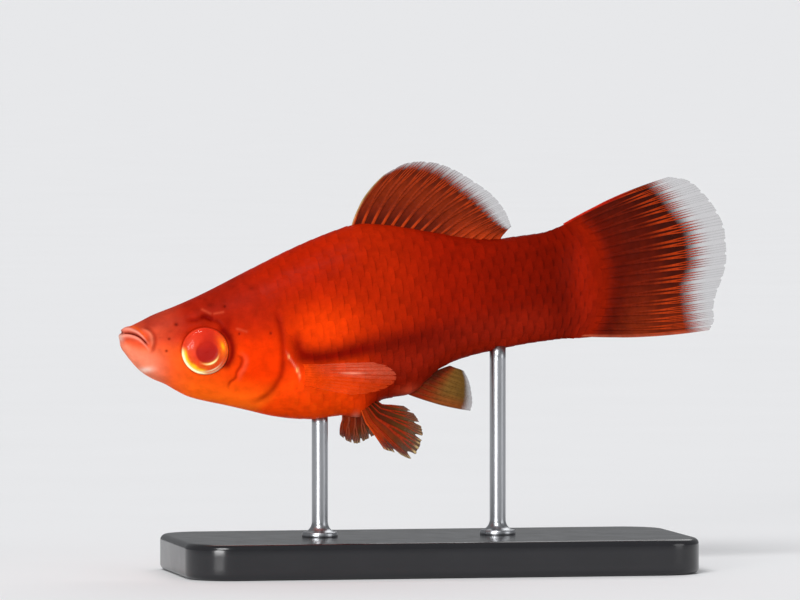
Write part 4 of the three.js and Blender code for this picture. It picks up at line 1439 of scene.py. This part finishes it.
def pelvic_paint(web, ray):
    def paint(u, v, ridge, joint, x, z):
        tip_glint = smooth(v, 0.88, 0.98) * fade(u, 0.3, 0.8) * smooth(ridge, 0, 0.5)
        skin = layered(
            web,
            (PELVIC_TIP, 0.8 * smooth(v, 0.25, 0.8) * smooth(u, 0.1, 0.5)),
            (RAY_ORANGE, 0.6 * fade(u, 0.1, 0.5) * fade(v, 0.4, 0.9)),
            (ray, 0.8 * smooth(ridge, 0.15, 0.7) * (1 - 0.5 * smooth(v, 0.7, 0.95))),
            (FIN_DARK, 0.3 * joint * ridge),
            # painted highlights at the tips of the rays
            (TIP_CREAM, 0.7 * tip_glint),
            (LIP_ORANGE, 0.8 * fade(u, 0, 0.06) * (1 - 0.6 * v)),
        )
        return skin, span(0.998, 0.96, smooth(v, 0.6, 1))

    return paint


def make_pelvic(side, front, margin_points, paint, bulge):
    margin = line(margin_points)

    def middle(u, v):
        x = span(front, PELVIC_REAR, u)
        y = side * span(PELVIC_OUTER, PELVIC_INNER, u)
        stand = PELVIC_STAND * (1 - 0.8 * u)
        drop = ROOT_DEPTH - (ROOT_DEPTH + stand) * smooth(v, -0.02, 0.2)
        pad = 0.65 * PELVIC_PAD_HEIGHT * bump(x - PELVIC_PAD[0], 1.25)
        root = vector(x, y, underside(x, y) - pad + drop)
        bow = vector(-bulge * arch(v) * (1 - u), side * 0.3 * arch(v), 0)
        return blend(root, margin(u), v) + bow

    make_fin(
        f"pelvic_rays_{SIDES[side]}", f"pelvic_fin_{SIDES[side]}", 6, 14, middle, paint,
        scallop=0.13, fray=0.03, seed=6,
    )


make_pelvic(-1, PELVIC_FRONT, LEFT_PELVIC_MARGIN, pelvic_paint(PELVIC_BROWN, RAY_RED), 0.0)
make_pelvic(1, FAR_PELVIC_FRONT, RIGHT_PELVIC_MARGIN, pelvic_paint(PELVIC_RED, EDGE_PINK), 0.1)

# Stand: a flat base with eased edges, and two slim rods with a foot that enter the belly
BASE_LENGTH = 58
BASE_WIDTH = 26
BASE_HEIGHT = 4
BASE_CORNER = 5
BASE_EASE = 0.7
AROUND_BASE = 192
ROD_RADIUS = 0.9
AROUND_ROD = 72
ROD_FOOT = 2
ROD_SINK = 0.25
ROD_ENTRY = 0.5


def rounded_outline(inset):
    """The outline of the base, moved inwards by less than its corner radius."""
    angles = around(AROUND_BASE)
    radius = BASE_CORNER - inset
    x = np.sign(np.cos(angles)) * (BASE_LENGTH / 2 - BASE_CORNER) + radius * np.cos(angles)
    y = np.sign(np.sin(angles)) * (BASE_WIDTH / 2 - BASE_CORNER) + radius * np.sin(angles)
    return np.stack([x, y], -1)


def make_base():
    turn = np.linspace(0, math.pi / 2, 9)
    profile = [(BASE_EASE * (1 - math.sin(t)), BASE_EASE * (1 - math.cos(t))) for t in turn]
    profile += [(0, z) for z in np.linspace(BASE_EASE, BASE_HEIGHT - BASE_EASE, 5)[1:-1]]
    profile += [(inset, BASE_HEIGHT - z) for inset, z in reversed(profile[:len(turn)])]
    profile += [(inset, BASE_HEIGHT) for inset in (1.2, 2, 3, 4, 4.9)]
    rings = [np.column_stack([rounded_outline(inset), np.full(AROUND_BASE, z)]) for inset, z in profile]
    ends = np.array([(0, 0, 0), (0, 0, BASE_HEIGHT)])
    mesh = ring_mesh("base_plate", 0.001 * np.stack(rings), *(0.001 * ends))
    add_piece("base_plate", mesh, ACRYLIC, ("stand_base",))


def make_rod(name, node, body_x):
    """A round rod with a wider foot, from the base into the belly."""
    top = 1000 * place(np.array([body_x, 0, float(belly(body_x)) + ROD_ENTRY]))[2]
    x, y = 500 * sum(corner[0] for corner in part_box(node)), float(bend(body_x))
    start = BASE_HEIGHT - ROD_SINK
    profile = [(ROD_FOOT, start), (ROD_FOOT, BASE_HEIGHT + 0.35), (ROD_FOOT * 0.97, BASE_HEIGHT + 0.5)]
    for t in np.linspace(0, math.pi / 2, 10):
        radius = span(ROD_FOOT * 0.95, ROD_RADIUS, math.sin(t))
        profile.append((radius, BASE_HEIGHT + 0.55 + 1.1 * (1 - math.cos(t))))
    profile += [(ROD_RADIUS, z) for z in np.linspace(BASE_HEIGHT + 2, top, 14)]
    angles = around(AROUND_ROD)
    rings = [
        np.column_stack([x + r * np.cos(angles), y + r * np.sin(angles), np.full(AROUND_ROD, z)])
        for r, z in profile
    ]
    ends = np.array([(x, y, start), (x, y, top)])
    mesh = ring_mesh(name, 0.001 * np.stack(rings), *(0.001 * ends))
    add_piece(name, mesh, STEEL, (node,))


make_base()
make_rod("rod_front", "stand_rod_front", FRONT_ROD_X)
make_rod("rod_rear", "stand_rod_rear", REAR_ROD_X)


# Floor, light and camera
def floor_material():
    nodes = Nodes("floor")
    nodes.colour(nodes.times((0.86, 0.86, 0.87, 1), nodes.range(nodes.noise(30, 4.0), 0.985, 1.015)))
    nodes.fill(Roughness=0.8, Specular_IOR_Level=0.0)
    return nodes.material


FLOOR_REACH = 60.0
floor_corners = FLOOR_REACH * np.array([(-1, -1, 0), (1, -1, 0), (1, 1, 0), (-1, 1, 0)])
floor = add_object("floor", make_mesh("floor", floor_corners, np.array([[0, 1, 2, 3]])))
floor.data.materials.append(floor_material())

world = bpy.data.worlds.new("studio")
bpy.context.scene.world = world
world.use_nodes = True
sky = world.node_tree.nodes["Background"]
sky.inputs["Color"].default_value = (0.95, 0.97, 1.0, 1)
sky.inputs["Strength"].default_value = 0.28


def add_sun(name, at, energy, softness):
    """A soft light from far away, from the side of the point at, towards the fish."""
    light = bpy.data.lights.new(name, "SUN")
    light.energy = energy
    light.angle = math.radians(softness)
    item = add_object(name, light)
    item.location = at
    item.rotation_euler = (FISH_MIDDLE - Vector(at)).to_track_quat("-Z", "Y").to_euler()


FISH_MIDDLE = Vector((0, 0, 0.03))
add_sun("key", (-0.45, -0.75, 0.85), 1.85, 25)
add_sun("side", (-0.28, -0.4, 0.05), 2.4, 25)
add_sun("fill", (0.45, -0.3, 0.15), 0.4, 30)
add_sun("far_fill", (0.25, 0.5, 0.6), 0.8, 40)

# Camera: a long lens, a little towards the fish's head and a little from above. The picture's middle
# lies to the right of the snout and above it.
VIEW = Euler((math.radians(88), 0, math.radians(-11)))
SENSOR = 36
LENS = 400
FRAME_WIDTH = 0.0887
PICTURE_MIDDLE = (0.03127, 0.00455)
right, up, behind = VIEW.to_matrix().col
snout = 0.001 * Vector((FISH_X, 0, SNOUT_HEIGHT))
target = snout + PICTURE_MIDDLE[0] * right + PICTURE_MIDDLE[1] * up
camera = add_object("camera", bpy.data.cameras.new("camera"))
camera.data.lens = LENS
camera.data.sensor_width = SENSOR
camera.data.clip_end = 200
camera.location = target + FRAME_WIDTH * LENS / SENSOR * behind
camera.rotation_euler = VIEW
bpy.context.scene.camera = camera
bpy.context.scene.view_settings.view_transform = "Standard"
